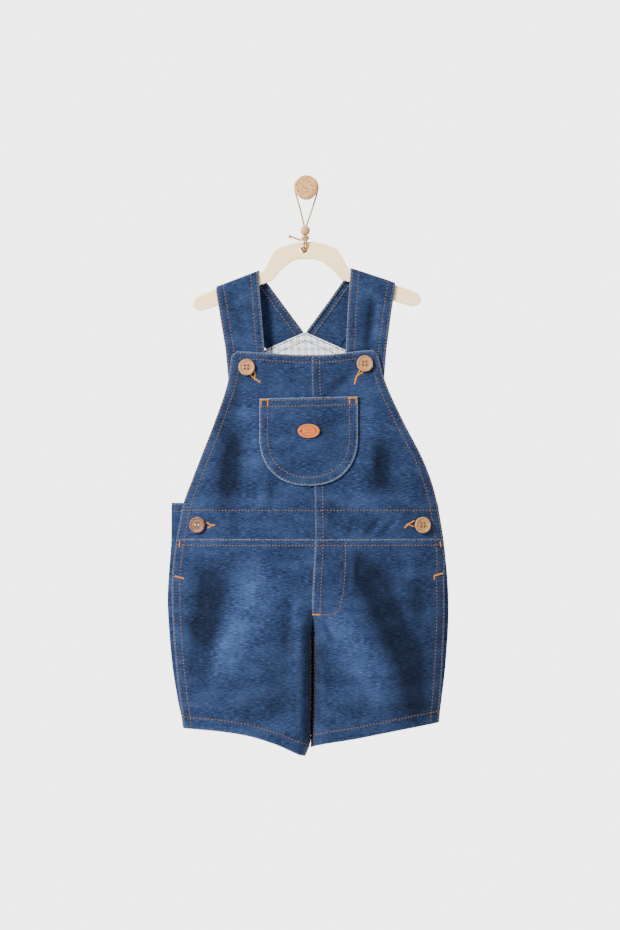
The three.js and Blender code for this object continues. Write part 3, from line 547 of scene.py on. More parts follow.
def cloth_object(name, grid, thickness, turn, wear, folds, uv=None):
    """A cloth wall as an object. Its UV map holds millimetres along the cloth. One attribute says how worn it
    is, and one holds the folds' painted light and shade, partly the fading of washing: 1 on a fold's ridge
    (painted highlight), -1 in a hollow (painted shade), by the folds' summed height over the height of a fully
    shaded fold. Where no map is given, the cloth's cross threads are level."""
    points, faces, border = cloth_wall(grid, thickness, turn)
    if uv is None:
        uv = np.stack([lengths_along(grid, 0) + grid[:1, :, 0], grid[..., 2]], axis=-1)
    height = np.zeros(grid.shape[:2])
    for listed in folds:
        height += fold_height(listed, grid[..., 0], grid[..., 2])
    # Painted fold shading: paler on ridges and darker in hollows, partly wash fading and partly painted light
    # and shade
    looks = {"wear": wear.ravel(), "fold_shade_and_wash": np.clip(height / FULL_SHADE_AND_WASH_HEIGHT, -1, 1).ravel()}
    looks = {key: np.concatenate([flat, flat, flat[border]]) for key, flat in looks.items()}
    flat_uv = uv.reshape(-1, 2)
    flat_uv = np.concatenate([flat_uv, flat_uv, flat_uv[border]])
    return make_object(name, points, faces.tolist(), flat_uv, looks)


def ring_faces(count, sides, wrap=False):
    """The faces between rings of points, each ring closed, and the last joined to the first where wrap is
    true."""
    i, j = np.meshgrid(np.arange(count if wrap else count - 1), np.arange(sides), indexing="ij")
    following, turned = (i + 1) % count, (j + 1) % sides
    corners = [i * sides + j, i * sides + turned, following * sides + turned, following * sides + j]
    return np.stack(corners, axis=-1).reshape(-1, 4)


def ringed_solid(rings, wrap=False):
    """The points and faces of a closed form made of rings. Its two ends are closed by a point in the
    middle of the first and last ring, unless it is wrapped round on itself."""
    count, sides = rings.shape[:2]
    points = rings.reshape(-1, 3)
    faces = ring_faces(count, sides, wrap).tolist()
    if wrap:
        return points, faces
    j = np.arange(sides)
    turned = (j + 1) % sides
    last = (count - 1) * sides
    faces += np.stack([np.full(sides, count * sides), turned, j], axis=1).tolist()
    faces += np.stack([np.full(sides, count * sides + 1), last + j, last + turned], axis=1).tolist()
    return np.concatenate([points, [rings[0].mean(axis=0), rings[-1].mean(axis=0)]]), faces


def joined(parts):
    """One set of points and faces from several."""
    points, faces, start = [], [], 0
    for part_points, part_faces in parts:
        points.append(part_points)
        faces += [[start + k for k in face] for face in part_faces]
        start += len(part_points)
    return np.concatenate(points), faces


def curve_through(route, count):
    """A smooth curve through the points of a route: a cubic between each two, with slopes from their
    neighbours, at evenly spaced places."""
    route = np.asarray(route, float)
    places = {"at": np.arange(len(route), dtype=float), "x": route[:, 0], "y": route[:, 1], "z": route[:, 2]}
    at = np.linspace(0, len(route) - 1, count)
    return np.stack([along(places, axis, at, key="at") for axis in "xyz"], axis=-1)


def path_frame(path, reference):
    """Two directions square to a path: up is the reference with its part along the path taken out, side
    is square to both, and side, up and the path's direction are right-handed."""
    direction = unit(np.gradient(path, axis=0, edge_order=2))
    up = unit(reference - direction * np.sum(reference * direction, axis=-1, keepdims=True))
    return np.cross(up, direction), up


def round_rings(path, radius, sides, side, up):
    """Rings of points round a path: path + radius (cos a side + sin a up)."""
    angle = np.linspace(0, 2 * math.pi, sides, endpoint=False)[None, :, None]
    spokes = np.cos(angle) * side[:, None] + np.sin(angle) * up[:, None]
    return path[:, None] + np.reshape(radius, (-1, 1, 1)) * spokes


def tube(path, radius, sides, reference):
    """A round tube along a path, of one radius or one for each point."""
    side, up = path_frame(path, reference)
    return ringed_solid(round_rings(path, radius, sides, side, up))


def strands(path, reference, lay_radius, strand_radius, twist_length, count=3, sides=7):
    """The strands of a twisted twine: each is a helix round the path, path + lay_radius (cos p side + sin
    p up), where p makes one turn in each twist length."""
    side, up = path_frame(path, reference)
    walked = np.concatenate([[0], np.cumsum(np.linalg.norm(np.diff(path, axis=0), axis=1))])
    made = []
    for k in range(count):
        phase = (2 * math.pi * (walked / twist_length + k / count))[:, None]
        strand = path + lay_radius * (np.cos(phase) * side + np.sin(phase) * up)
        made.append(tube(strand, strand_radius, sides, reference))
    return joined(made)


def finish_piece(piece, finish, slot, *nodes):
    """Gives the piece its material, makes it ride on the body, and hides the CAD nodes that it stands for."""
    piece.data.materials.append(finish)
    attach(piece, BODY)
    if nodes:
        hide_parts(*nodes)
    return piece


# Materials

def linear(hex_value):
    """The linear colour of an sRGB hex value."""
    channels = [int(hex_value[k:k + 2], 16) / 255 for k in (1, 3, 5)]
    return tuple(c / 12.92 if c <= 0.04045 else ((c + 0.055) / 1.055) ** 2.4 for c in channels) + (1.0,)


def new_material(name, roughness, specular, sheen=0.0):
    """An empty node material and its node tree and shader."""
    made = bpy.data.materials.new(name)
    made.use_nodes = True
    tree = made.node_tree
    shader = next(node for node in tree.nodes if node.type == "BSDF_PRINCIPLED")
    shader.inputs["Roughness"].default_value = roughness
    shader.inputs["Specular IOR Level"].default_value = specular
    shader.inputs["Sheen Weight"].default_value = sheen
    return made, tree, shader


def add(tree, kind, settings, *values, **named):
    """Adds a node with its settings, and gives its first output that is in use. Values go to the inputs
    in use in their order, or by name with underscores for spaces. Each is a number, a hex colour or an
    output to link from."""
    node = tree.nodes.new(kind)
    for key, value in settings.items():
        setattr(node, key, value)
    used = [socket for socket in node.inputs if socket.enabled]
    by_name = {socket.name.replace(" ", "_"): socket for socket in reversed(used)}
    for socket, value in list(zip(used, values)) + [(by_name[key], value) for key, value in named.items()]:
        if isinstance(value, bpy.types.NodeSocket):
            tree.links.new(value, socket)
        else:
            socket.default_value = linear(value) if isinstance(value, str) else value
    return next(socket for socket in node.outputs if socket.enabled)


NOISE, MAPPING, VORONOI = "ShaderNodeTexNoise", "ShaderNodeMapping", "ShaderNodeTexVoronoi"
MATH, MIX, MAP_RANGE, BUMP = "ShaderNodeMath", "ShaderNodeMix", "ShaderNodeMapRange", "ShaderNodeBump"
ATTRIBUTE, COORDINATE, UV_MAP = "ShaderNodeAttribute", "ShaderNodeTexCoord", "ShaderNodeUVMap"
COLOUR = {"data_type": "RGBA"}
STEP = {"interpolation_type": "SMOOTHSTEP"}
TIMES, PLUS = {"operation": "MULTIPLY"}, {"operation": "ADD"}


def denim_material(colours):
    """Indigo slub jersey that looks like denim, washed and matt with a faint nap. The eye sees uneven level
    streaks, about 9 mm long and 1.3 mm high, of dark and pale yarn. The folds carry painted light and shade:
    paler on the ridges, partly as washing fades them, and darker in the hollows as painted shade. The fine
    courses, 0.6 mm in the cloth, are drawn at 1.2 mm so that they show."""
    made, tree, shader = new_material("washed indigo slub jersey", 0.95, 0.06, 0.03)
    place = add(tree, UV_MAP, {"uv_map": "Cloth"})
    slub_place = add(tree, MAPPING, {}, Vector=place, Scale=(0.1, 0.74, 1))
    fleck_place = add(tree, MAPPING, {}, Vector=place, Scale=(0.18, 1.15, 1))
    cloud_place = add(tree, MAPPING, {}, Vector=place, Scale=(0.022, 0.05, 1))
    slubs = add(tree, NOISE, {}, Vector=slub_place, Scale=1.0, Detail=3.0, Roughness=0.6)
    flecks = add(tree, NOISE, {}, Vector=fleck_place, Scale=1.0, Detail=2.0, Roughness=0.7)
    clouds = add(tree, NOISE, {}, Vector=cloud_place, Scale=1.0, Detail=3.0, Roughness=0.6)
    slub_share = add(tree, MAP_RANGE, STEP, slubs, 0.25, 0.7)
    base = add(tree, MIX, COLOUR, slub_share, colours.denim_dark, colours.denim_mid)
    fleck_share = add(tree, MATH, TIMES, add(tree, MAP_RANGE, STEP, flecks, 0.4, 0.8), 0.6)
    base = add(tree, MIX, COLOUR, fleck_share, base, colours.denim_light)
    cloud_share = add(tree, MATH, TIMES, add(tree, MAP_RANGE, STEP, clouds, 0.35, 0.75), 0.25)
    base = add(tree, MIX, COLOUR, cloud_share, base, colours.denim_light)
    # Painted fold shading: the colour is scaled from 0.36 in a fold's hollow (painted shade) to 1.64 on its
    # ridge (painted highlight), partly the wash fading of denim
    fold_shade_and_wash = add(tree, ATTRIBUTE, {"attribute_name": "fold_shade_and_wash"}).node.outputs["Fac"]
    shade_and_wash_gain = add(tree, MAP_RANGE, {}, fold_shade_and_wash, -1.0, 1.0, 0.36, 1.64)
    base = add(tree, "ShaderNodeVectorMath", {"operation": "SCALE"}, base, Scale=shade_and_wash_gain)
    wear = add(tree, ATTRIBUTE, {"attribute_name": "wear"}).node.outputs["Fac"]
    worn = add(tree, MATH, TIMES, wear, add(tree, MAP_RANGE, STEP, flecks, 0.2, 0.6))
    base = add(tree, MIX, COLOUR, worn, base, colours.denim_worn)
    tree.links.new(base, shader.inputs["Base Color"])
    courses = add(tree, "ShaderNodeTexWave", {"bands_direction": "Y"}, Vector=place, Scale=0.26, Distortion=1.5)
    courses = add(tree, MATH, TIMES, courses.node.outputs["Fac"], 0.2)
    yarns = add(tree, MATH, PLUS, add(tree, MATH, TIMES, flecks, 0.6), courses)
    yarns = add(tree, MATH, PLUS, add(tree, MATH, TIMES, slubs, 0.9), yarns)
    normal = add(tree, BUMP, {}, Height=yarns, Strength=0.35, Distance=0.0005)
    tree.links.new(normal, shader.inputs["Normal"])
    return made


def gingham_material(colours):
    """Yarn-dyed cotton gingham with 3.7 mm checks: white and pale grey yarns cross, and the squares where
    both are grey are the darkest."""
    made, tree, shader = new_material("pale grey gingham cotton", 0.9, 0.2)
    place = add(tree, UV_MAP, {"uv_map": "Cloth"})
    axes = add(tree, "ShaderNodeSeparateXYZ", {}, Vector=place).node.outputs
    stripes = []
    for axis in (0, 1):
        turns = add(tree, MATH, TIMES, axes[axis], 2 * math.pi / 7.4)
        wave = add(tree, MATH, {"operation": "SINE"}, turns)
        stripes.append(add(tree, MAP_RANGE, STEP, wave, -0.25, 0.25))
    both = add(tree, MATH, TIMES, add(tree, MATH, PLUS, *stripes), 0.5)
    base = add(tree, MIX, COLOUR, both, colours.gingham_pale, colours.gingham_dark)
    wear = add(tree, ATTRIBUTE, {"attribute_name": "wear"}).node.outputs["Fac"]
    edge = add(tree, MATH, TIMES, wear, 0.6)
    tree.links.new(add(tree, MIX, COLOUR, edge, base, colours.gingham_pale), shader.inputs["Base Color"])
    yarns = add(tree, NOISE, {}, Vector=place, Scale=1.4)
    tree.links.new(add(tree, BUMP, {}, Height=yarns, Strength=0.4, Distance=0.0003), shader.inputs["Normal"])
    return made


def thread_material(name, colour, shade):
    """Twisted polyester sewing thread: smooth with a low shine, with painted shade between its plies, where the
    shade colour is mixed in by noise. The plies, 0.2 mm apart, are drawn at 0.8 mm."""
    made, tree, shader = new_material(name, 0.6, 0.3, 0.1)
    place = add(tree, COORDINATE, {}).node.outputs["Object"]
    plies = add(tree, NOISE, {}, Vector=place, Scale=1250.0, Detail=1.0)
    share = add(tree, MAP_RANGE, STEP, plies, 0.3, 0.55)
    tree.links.new(add(tree, MIX, COLOUR, share, shade, colour), shader.inputs["Base Color"])
    return made


def wood_material(name, pale, dark, grain, roughness):
    """Sanded, unvarnished wood: soft level grain lines, spaced by the grain's width in millimetres, and fine
    pores. The eye sees a matt, even surface with faint lines."""
    made, tree, shader = new_material(name, roughness, 0.3)
    place = add(tree, COORDINATE, {}).node.outputs["Object"]
    grain_place = add(tree, MAPPING, {}, Vector=place, Scale=(60 / grain, 1000 / grain, 1000 / grain))
    lines = add(tree, NOISE, {}, Vector=grain_place, Scale=1.0, Detail=4.0, Roughness=0.55)
    pores = add(tree, NOISE, {}, Vector=grain_place, Scale=4.0, Detail=2.0)
    base = add(tree, MIX, COLOUR, add(tree, MAP_RANGE, STEP, lines, 0.3, 0.75), pale, dark)
    pore_share = add(tree, MATH, TIMES, add(tree, MAP_RANGE, STEP, pores, 0.55, 0.75), 0.35)
    base = add(tree, MIX, COLOUR, pore_share, base, dark)
    tree.links.new(base, shader.inputs["Base Color"])
    tree.links.new(add(tree, BUMP, {}, Height=pores, Strength=0.25, Distance=0.0002), shader.inputs["Normal"])
    return made


def cork_material(colours):
    """Pressed cork granules, 1 to 2 mm across, in mixed tans, with dark bark specks between them: dull
    and dry."""
    made, tree, shader = new_material("pressed cork granules", 0.88, 0.2)
    place = add(tree, COORDINATE, {}).node.outputs["Object"]
    granules = add(tree, VORONOI, {}, Vector=place, Scale=620.0).node.outputs["Color"]
    gaps = add(tree, VORONOI, {"feature": "DISTANCE_TO_EDGE"}, Vector=place, Scale=620.0)
    tone = add(tree, "ShaderNodeSeparateColor", {}, Color=granules)
    base = add(tree, MIX, COLOUR, tone, colours.cork_pale, colours.cork_dark)
    bark = add(tree, MAP_RANGE, STEP, add(tree, NOISE, {}, Vector=place, Scale=900.0), 0.58, 0.68)
    base = add(tree, MIX, COLOUR, bark, base, "#5d4026")
    base = add(tree, MIX, COLOUR, add(tree, MAP_RANGE, STEP, gaps, 0.1, 0.0), base, "#a9845c")
    tree.links.new(base, shader.inputs["Base Color"])
    tree.links.new(add(tree, BUMP, {}, Height=gaps, Strength=0.5, Distance=0.0006), shader.inputs["Normal"])
    return made


def leather_material(colours):
    """Vegetable-tanned cowhide, pressed with a hot die: peach-tan with a fine pebble of 0.5 mm, and
    darker where the die has burnt it."""
    made, tree, shader = new_material("vegetable-tanned cowhide", 0.55, 0.3)
    place = add(tree, COORDINATE, {}).node.outputs["Object"]
    pebble = add(tree, VORONOI, {}, Vector=place, Scale=1800.0)
    mottle = add(tree, NOISE, {}, Vector=place, Scale=260.0, Detail=3.0)
    base = add(tree, MIX, COLOUR, mottle, colours.leather, "#a85a2c")
    pressed = add(tree, ATTRIBUTE, {"attribute_name": "wear"}).node.outputs["Fac"]
    base = add(tree, MIX, COLOUR, pressed, base, colours.leather_pressed)
    tree.links.new(base, shader.inputs["Base Color"])
    normal = add(tree, BUMP, {}, Height=pebble, Strength=0.25, Distance=0.0001)
    tree.links.new(normal, shader.inputs["Normal"])
    return made


def twine_material(colours):
    """Cotton and jute twine: cream plies with brown fibres between them, dry and hairy to the eye."""
    made, tree, shader = new_material("cotton and jute twine", 0.9, 0.2, 0.1)
    place = add(tree, COORDINATE, {}).node.outputs["Object"]
    fibres = add(tree, NOISE, {}, Vector=place, Scale=900.0, Detail=3.0)
    share = add(tree, MAP_RANGE, STEP, fibres, 0.35, 0.6)
    tree.links.new(add(tree, MIX, COLOUR, share, "#684623", colours.twine), shader.inputs["Base Color"])
    tree.links.new(add(tree, BUMP, {}, Height=fibres, Strength=0.5, Distance=0.0003), shader.inputs["Normal"])
    return made


def floor_material(colours):
    """Matt studio paint: even and without shine."""
    made, _, shader = new_material("matt studio paint", 0.9, 0.2)
    shader.inputs["Base Color"].default_value = colours.floor
    return made


MATERIAL_MAKERS = {
    "denim": denim_material,
    "gingham": gingham_material,
    "cork": cork_material,
    "leather": leather_material,
    "twine": twine_material,
    "floor": floor_material,
    "tan thread": lambda colours: thread_material("tan polyester thread", colours.thread_tan, "#38260f"),
    "orange thread": lambda colours: thread_material(
        "orange polyester thread", colours.thread_orange, "#7c4a06"
    ),
    "brown thread": lambda colours: thread_material("brown polyester thread", "#8a6240", "#4a3020"),
    "pale thread": lambda colours: thread_material("natural polyester thread", "#d9cbb4", "#8f8069"),
    "button wood": lambda colours: wood_material("turned light wood", colours.button, "#7a5638", 0.9, 0.55),
    "dark button wood": lambda colours: wood_material("turned dark wood", "#76503a", "#332118", 0.9, 0.55),
    "birch": lambda colours: wood_material("sanded birch ply", colours.birch, "#ecca98", 1.6, 0.7),
    "bead wood": lambda colours: wood_material("turned beech", colours.bead, "#8e6440", 0.8, 0.5),
}
MADE_MATERIALS = {}


def material(name):
    """The material of that name, made the first time that it is asked for."""
    if name not in MADE_MATERIALS:
        MADE_MATERIALS[name] = MATERIAL_MAKERS[name](bpy.context.scene.dungarees_colours)
    return MADE_MATERIALS[name]


# The front

EDGE_LINES = (0, 0.5, 1.0, 1.3, 1.6, 1.9, 2.3, 3.2, 4.6, 6.2, 7.4, 8.0, 8.3, 8.6, 8.9, 9.3, 10.0, 10.8)
SEAM_LINES = (0, 0.4, 0.8, 1.2, 1.6, 2.2, 3.2, 4.8, 6.4, 7.4, 7.8, 8.2, 8.6, 9.0, 9.8, 10.8)
TOP_LINES = (0, 0.5, 1.0, 1.3, 1.6, 1.9, 2.4, 3.6, 5.2, 6.6, 7.1, 7.4, 7.7, 8.2, 8.9, 10.0)
HEM_LINES = (0, 0.6, 1.2, 2.4, 4.5, 7.0, 9.4, 10.4, 11.0, 11.4, HEM_ROW, 12.4, 13.4)


def bib_grid(side):
    """Points and wear of one half of the bib, on lines that follow its edge, seam and top: columns from
    the side edge to the middle seam, rows from the top edge to the waist seam."""
    share, shift = spread(EDGE_LINES, 58, SEAM_LINES)
    down, drop = spread(TOP_LINES, 112, (0, 0.6, 1.2, 2.4))
    at_top = np.full_like(share, FRONT_ROWS["z"][0])
    top_x = mix(edge_x(side, at_top), inner_x(side, at_top), share) - side * shift
    top = bib_top(side, panel_share(side, top_x, at_top))
    z = mix(top[:, None], WAIST_Z, down) - drop
    x = mix(edge_x(side, z), inner_x(side, z), share[:, None]) - side * shift[:, None]
    depth, wear = front_depth(side, x, z, "bib")
    return np.stack([x, -depth, z], axis=-1), wear


def leg_grid(side):
    """Points and wear of one leg's front: columns from the side edge to the inner edge, where they follow the
    crotch's roll, and rows from the waist seam to the hem."""
    share, shift = spread(EDGE_LINES, 74, (0,))
    roll = np.linspace(0, 1, 15)[1:, None]
    at_hem = np.full_like(share, HEMS[side]["z"].mean())
    start_x = inner_x(side, at_hem) + side * INNER_ROLL
    hem_x = mix(edge_x(side, at_hem), start_x, share) - side * shift
    across = np.concatenate([panel_share(side, hem_x, at_hem), ROLL_START + roll[:, 0] * (1 - ROLL_START)])
    down, drop = spread((0,) + SEAM_LINES[1:], 112, HEM_LINES)
    z = mix(WAIST_Z - SEAM_GAP, hem_z(side, across)[:, None], down) - drop
    flat_z, roll_z = z[:len(share)], z[len(share):]
    flat_end = inner_x(side, flat_z) + side * INNER_ROLL
    flat_x = mix(edge_x(side, flat_z), flat_end, share[:, None]) - side * shift[:, None]
    full = roll_angle(roll_z)
    roll_x = inner_x(side, roll_z) + side * INNER_ROLL * (1 - np.sin(roll * full) / np.sin(full))
    x = np.concatenate([flat_x, roll_x])
    depth, wear = front_depth(side, x, z, "leg")
    return np.stack([x, -depth, z], axis=-1), wear


# The back

def back_depth(x, z, fade=1.0):
    """The distance of the back's outer face from the wall, with its folds and creases."""
    return BACK_DEPTH - (fold_height(BACK_FOLDS, x, z) + fold_height(BACK_CREASES, x, z)) * fade


def under_front(side, u, z):
    """Points that lie a wall and a gap behind the front's face, at a share of the way across. Towards the
    start of the side fold they sink to the edge's own depth."""
    x = mix(edge_x(side, z), inner_x(side, z) + side * INNER_ROLL, u / ROLL_START)
    settled = smooth((u - LAP_START) / (LAP_SETTLED - LAP_START))
    depth = mix(along(FRONT_ROWS, "edge_depth", z), front_base(side, x, z, small=False), settled)
    return np.stack([x, -(depth - CLOTH - LAP_GAP), z], axis=-1)


def side_fold(side, turn, z):
    """The soft fold at the side: half an ellipse from under the front's edge round to the back."""
    start = under_front(side, LAP_START, z)
    reach = np.abs(along(SIDE_ROWS, side_name(side), z) - start[..., 0])
    middle, half = (BACK_DEPTH - start[..., 1]) / 2, (-start[..., 1] - BACK_DEPTH) / 2
    angle = turn * math.pi
    x = start[..., 0] + side * reach * np.sin(angle)
    return np.stack([x, -(middle + half * np.cos(angle)), z], axis=-1)


def back_wear(distances, rows):
    """The dents and the wear of a sewn back edge: a dent at each row, and worn at the edge itself."""
    return STITCH_DENT * stitch_dents(distances, *rows), 0.4 * bell(distances, 0.8)


WAIST_LINES = (0, 0.6, 1.2, 1.6, 2.0, 2.8, 5, 7, 8.0, 8.6, 9.2)


def waist_grid():
    """Points and wear of the back's waist band, from the lap under the left front, round both sides to
    the right."""
    down, drop = spread(WAIST_LINES, 12, (0, 0.6, 1.2, 2.4))
    z = mix(BACK_WAIST_TOP_Z, WAIST_Z, down) - drop
    columns = [under_front(LEFT, np.full_like(z, u), z) for u in np.linspace(0.22, 0.025, 18)]
    columns += [side_fold(LEFT, t, z) for t in np.linspace(0, 1, 22)]
    left, right = columns[-1][:, 0], side_fold(RIGHT, 1.0, z)[:, 0]
    for t in np.linspace(0, 1, 120)[1:-1]:
        x = mix(left, right, t)
        columns.append(np.stack([x, -back_depth(x, z, 0.5), z], axis=-1))
    columns += [side_fold(RIGHT, t, z) for t in np.linspace(1, 0, 22)]
    columns += [under_front(RIGHT, np.full_like(z, u), z) for u in np.linspace(0.025, 0.22, 18)]
    grid = np.array(columns)
    dents, wear = back_wear(BACK_WAIST_TOP_Z - grid[..., 2], (NEAR_ROW, FAR_ROW))
    return grid - outward(grid, RIGHT) * dents[..., None], wear


def back_leg_grid(side):
    """Points and wear of one leg's back: from the lap under the front's edge, round the side fold, across
    the back and, below the crotch, round to the inseam."""
    down, drop = spread((0, 0.6, 1.2, 2.4, 5), 100, HEM_LINES)

    def height(u):
        return mix(WAIST_Z - SEAM_GAP, hem_z(side, u), down) - drop

    columns = [under_front(side, np.full_like(down, u), height(u)) for u in np.linspace(0.07, 0.025, 7)]
    columns += [side_fold(side, t, height(0.0)) for t in np.linspace(0, 1, 22)]
    start = columns[-1][:, 0]
    for t in np.linspace(0, 1, 84)[1:]:
        z = height(t * ROLL_START)
        x = mix(start, back_inner_x(side, z) + side * INNER_ROLL, t)
        columns.append(np.stack([x, -back_depth(x, z, smooth(t / 0.2) * smooth((1 - t) / 0.2)), z], axis=-1))
    for part in np.linspace(0, 1, 13)[1:]:
        z = height(mix(ROLL_START, 1.0, part))
        full = roll_angle(z)
        x = back_inner_x(side, z) + side * INNER_ROLL * (1 - np.sin(part * full) / np.sin(full))
        rise = (CROTCH_DEPTH - SEAM_GAP - BACK_DEPTH) * (1 - np.cos(part * full))
        columns.append(np.stack([x, -(BACK_DEPTH + rise), z], axis=-1))
    grid = np.array(columns)
    hems = grid[:, -1:, 2]
    dents, wear = back_wear(grid[..., 2] - hems, (HEM_ROW,))
    waist_dents, _ = back_wear(WAIST_Z - grid[..., 2], (LAP_NEAR_ROW, WAIST_FAR_ROW))
    dents = np.maximum(dents, waist_dents)
    return grid - outward(grid, -side) * dents[..., None], wear


def gable_rise(x, z, bottom):
    """How far the house-shaped top lifts a level row: fully at the shoulders' height, and not at all at
    the bottom. At the shoulders it is a straight gable, 0 at both armhole edges and highest in the
    middle."""
    left, right = along(BACK_ROWS, "left", z), along(BACK_ROWS, "right", z)
    peak = (PEAK_Z - SHOULDER_Z) * (1 - np.abs(2 * (x - left) / (right - left) - 1))
    return peak * (bottom - z) / (bottom - SHOULDER_Z)


def shoulder_edge(x):
    """The height of the house-shaped top's own edge over x."""
    at = np.full(np.shape(x), SHOULDER_Z)
    return SHOULDER_Z + gable_rise(x, at, FACING_BOTTOM_Z)


def gable_grid(depth, bottom, columns, rows, dented_rows):
    """Points and wear of the house-shaped upper back, or its facing, at a depth: columns across between
    the armhole edges, rows from the sloping shoulders down. The peak rises over the shoulders by a
    straight gable."""
    share, shift = spread(EDGE_LINES, columns, EDGE_LINES)
    down, drop = spread(EDGE_LINES, rows, (0, 1.2, 2.4))
    level = mix(SHOULDER_Z, bottom, down) - drop
    z = np.broadcast_to(level, (len(share), len(level)))
    left, right = along(BACK_ROWS, "left", z), along(BACK_ROWS, "right", z)
    x = mix(left, right, share[:, None]) + shift[:, None]
    raised = z + gable_rise(x, z, bottom)
    from_edge = np.minimum(x - left, right - x)
    from_top = shoulder_edge(x) - raised
    dents = stitch_dents(from_edge, *dented_rows)
    dents = np.maximum(dents, stitch_dents(from_top, *dented_rows))
    wear = 0.4 * np.maximum(bell(from_edge, 1.0), bell(from_top, 1.0))
    if depth == BACK_DEPTH:
        y = -back_depth(x, raised) - STITCH_DENT * dents
    else:
        y = -np.full(x.shape, depth) + STITCH_DENT * dents
    return np.stack([x, y, raised], axis=-1), wear


# The straps: a row gives both edges of the band and the depth of its middle.
ARM_BACK, ARM_THICKNESS = 8.4, 6.0
STRAP_BEHIND = ARM_BACK - SEAM_GAP - STRAP_THICKNESS / 2
STRAP_BEFORE = ARM_BACK + ARM_THICKNESS + SEAM_GAP + STRAP_THICKNESS / 2
LEAVING_BACK = mix(STRAP_DEPTH_AT_BACK, STRAP_BEHIND, 0.6)
STRAPS = {
    LEFT: (
        table(
            "outer_x outer_z inner_x inner_z depth",
            (-38.2, -173.8, -1.9, -157.0, STRAP_DEPTH_AT_BACK),
            (-42.1, -168.6, -2.9, -150.9, STRAP_DEPTH_AT_BACK),
            (-67.4, -137.3, -25.8, -120.3, LEAVING_BACK),
            (-92.6, -105.7, -48.8, -88.9, STRAP_BEHIND),
        ),
        table(
            "outer_x outer_z inner_x inner_z depth",
            (-94.8, -105.9, -50.9, -89.2, STRAP_BEFORE),
            (-90.1, -136.0, -47.6, -128.0, STRAP_BEFORE),
            (-84.7, -168.3, -44.2, -168.3, STRAP_BEFORE),
            (-80.6, -212.0, -42.0, -212.0, STRAP_BEFORE),
        ),
    ),
    RIGHT: (
        table(
            "outer_x outer_z inner_x inner_z depth",
            (37.5, -175.5, -0.9, -157.0, STRAP_DEPTH_AT_BACK),
            (41.2, -170.3, -0.5, -150.9, STRAP_DEPTH_AT_BACK),
            (66.2, -136.0, 23.4, -118.6, LEAVING_BACK),
            (91.2, -101.4, 46.2, -86.2, STRAP_BEHIND),
        ),
        table(
            "outer_x outer_z inner_x inner_z depth",
            (93.3, -101.4, 46.8, -86.2, STRAP_BEFORE),
            (88.4, -134.0, 43.8, -128.0, STRAP_BEFORE),
            (84.0, -168.3, 42.0, -168.3, STRAP_BEFORE),
            (80.4, -210.0, 40.0, -210.0, STRAP_BEFORE),
        ),
    ),
}
# The flat-topped arch over the arm: across from behind (-1) to before (1), and the rise above its foot.
STRAP_ARCH = table("across rise", (-0.93, 1.1), (-0.65, 2.0), (0, 2.3), (0.65, 2.0), (0.93, 1.1))
STRAP_ROWS = (1.8, 8.2)
STRAP_LINES = (0, 0.5, 1.1, 1.5, 1.8, 2.1, 2.6, 4.2, 6.4, 7.4, 7.9, 8.2, 8.5, 9.2, 10.5)
# The front of a strap is hollow below the hanger's arm: how deep, and from which height to which.
STRAP_HOLLOW_DEPTH, STRAP_HOLLOW_TOP, STRAP_HOLLOW_BOTTOM = 1.8, -120.0, -168.0
# Creases of each strap's front, in the same columns as the folds of the garment's front
STRAP_CREASES = {
    LEFT: table(
        "x z length width height angle",
        (-70, -140, 50, 5, -0.5, 24),
        (-58, -150, 44, 5, 0.4, 12),
        (-80, -126, 34, 4, -0.4, 40),
    ),
    RIGHT: table(
        "x z length width height angle",
        (67, -143, 60, 5, -2.0, -7),
        (74, -140, 60, 6, 0.6, -6),
        (56, -130, 44, 6, 0.4, -14),
    ),
}


def strap_stations(side):
    """The strap's edges and depth at even steps along it: from behind, over the arm and down the front.
    They run straight between the rows, and are then rounded by a moving mean of 5 mm."""
    behind, before = STRAPS[side]
    columns = list(behind)
    rows_behind = np.stack([behind[c] for c in columns], axis=1)
    rows_before = np.stack([before[c] for c in columns], axis=1)
    over = mix(rows_behind[-1], rows_before[0], (STRAP_ARCH["across"][:, None] + 1) / 2)
    over[:, [1, 3]] += STRAP_ARCH["rise"][:, None]
    rows = np.concatenate([rows_behind, over, rows_before])
    places = rows[:, [0, 4, 1]]
    walked = np.concatenate([[0], np.cumsum(np.linalg.norm(np.diff(places, axis=0), axis=1))])
    count = int(walked[-1] / 1.25)
    at = np.linspace(0, walked[-1], count)
    even = np.stack([np.interp(at, walked, rows[:, k]) for k in range(len(columns))], axis=1)
    window = 5
    padded = np.pad(even, ((window // 2, window // 2), (0, 0)), mode="reflect", reflect_type="odd")
    kernel = np.ones(window) / window
    return np.stack([np.convolve(padded[:, k], kernel, mode="valid") for k in range(len(columns))], axis=1)


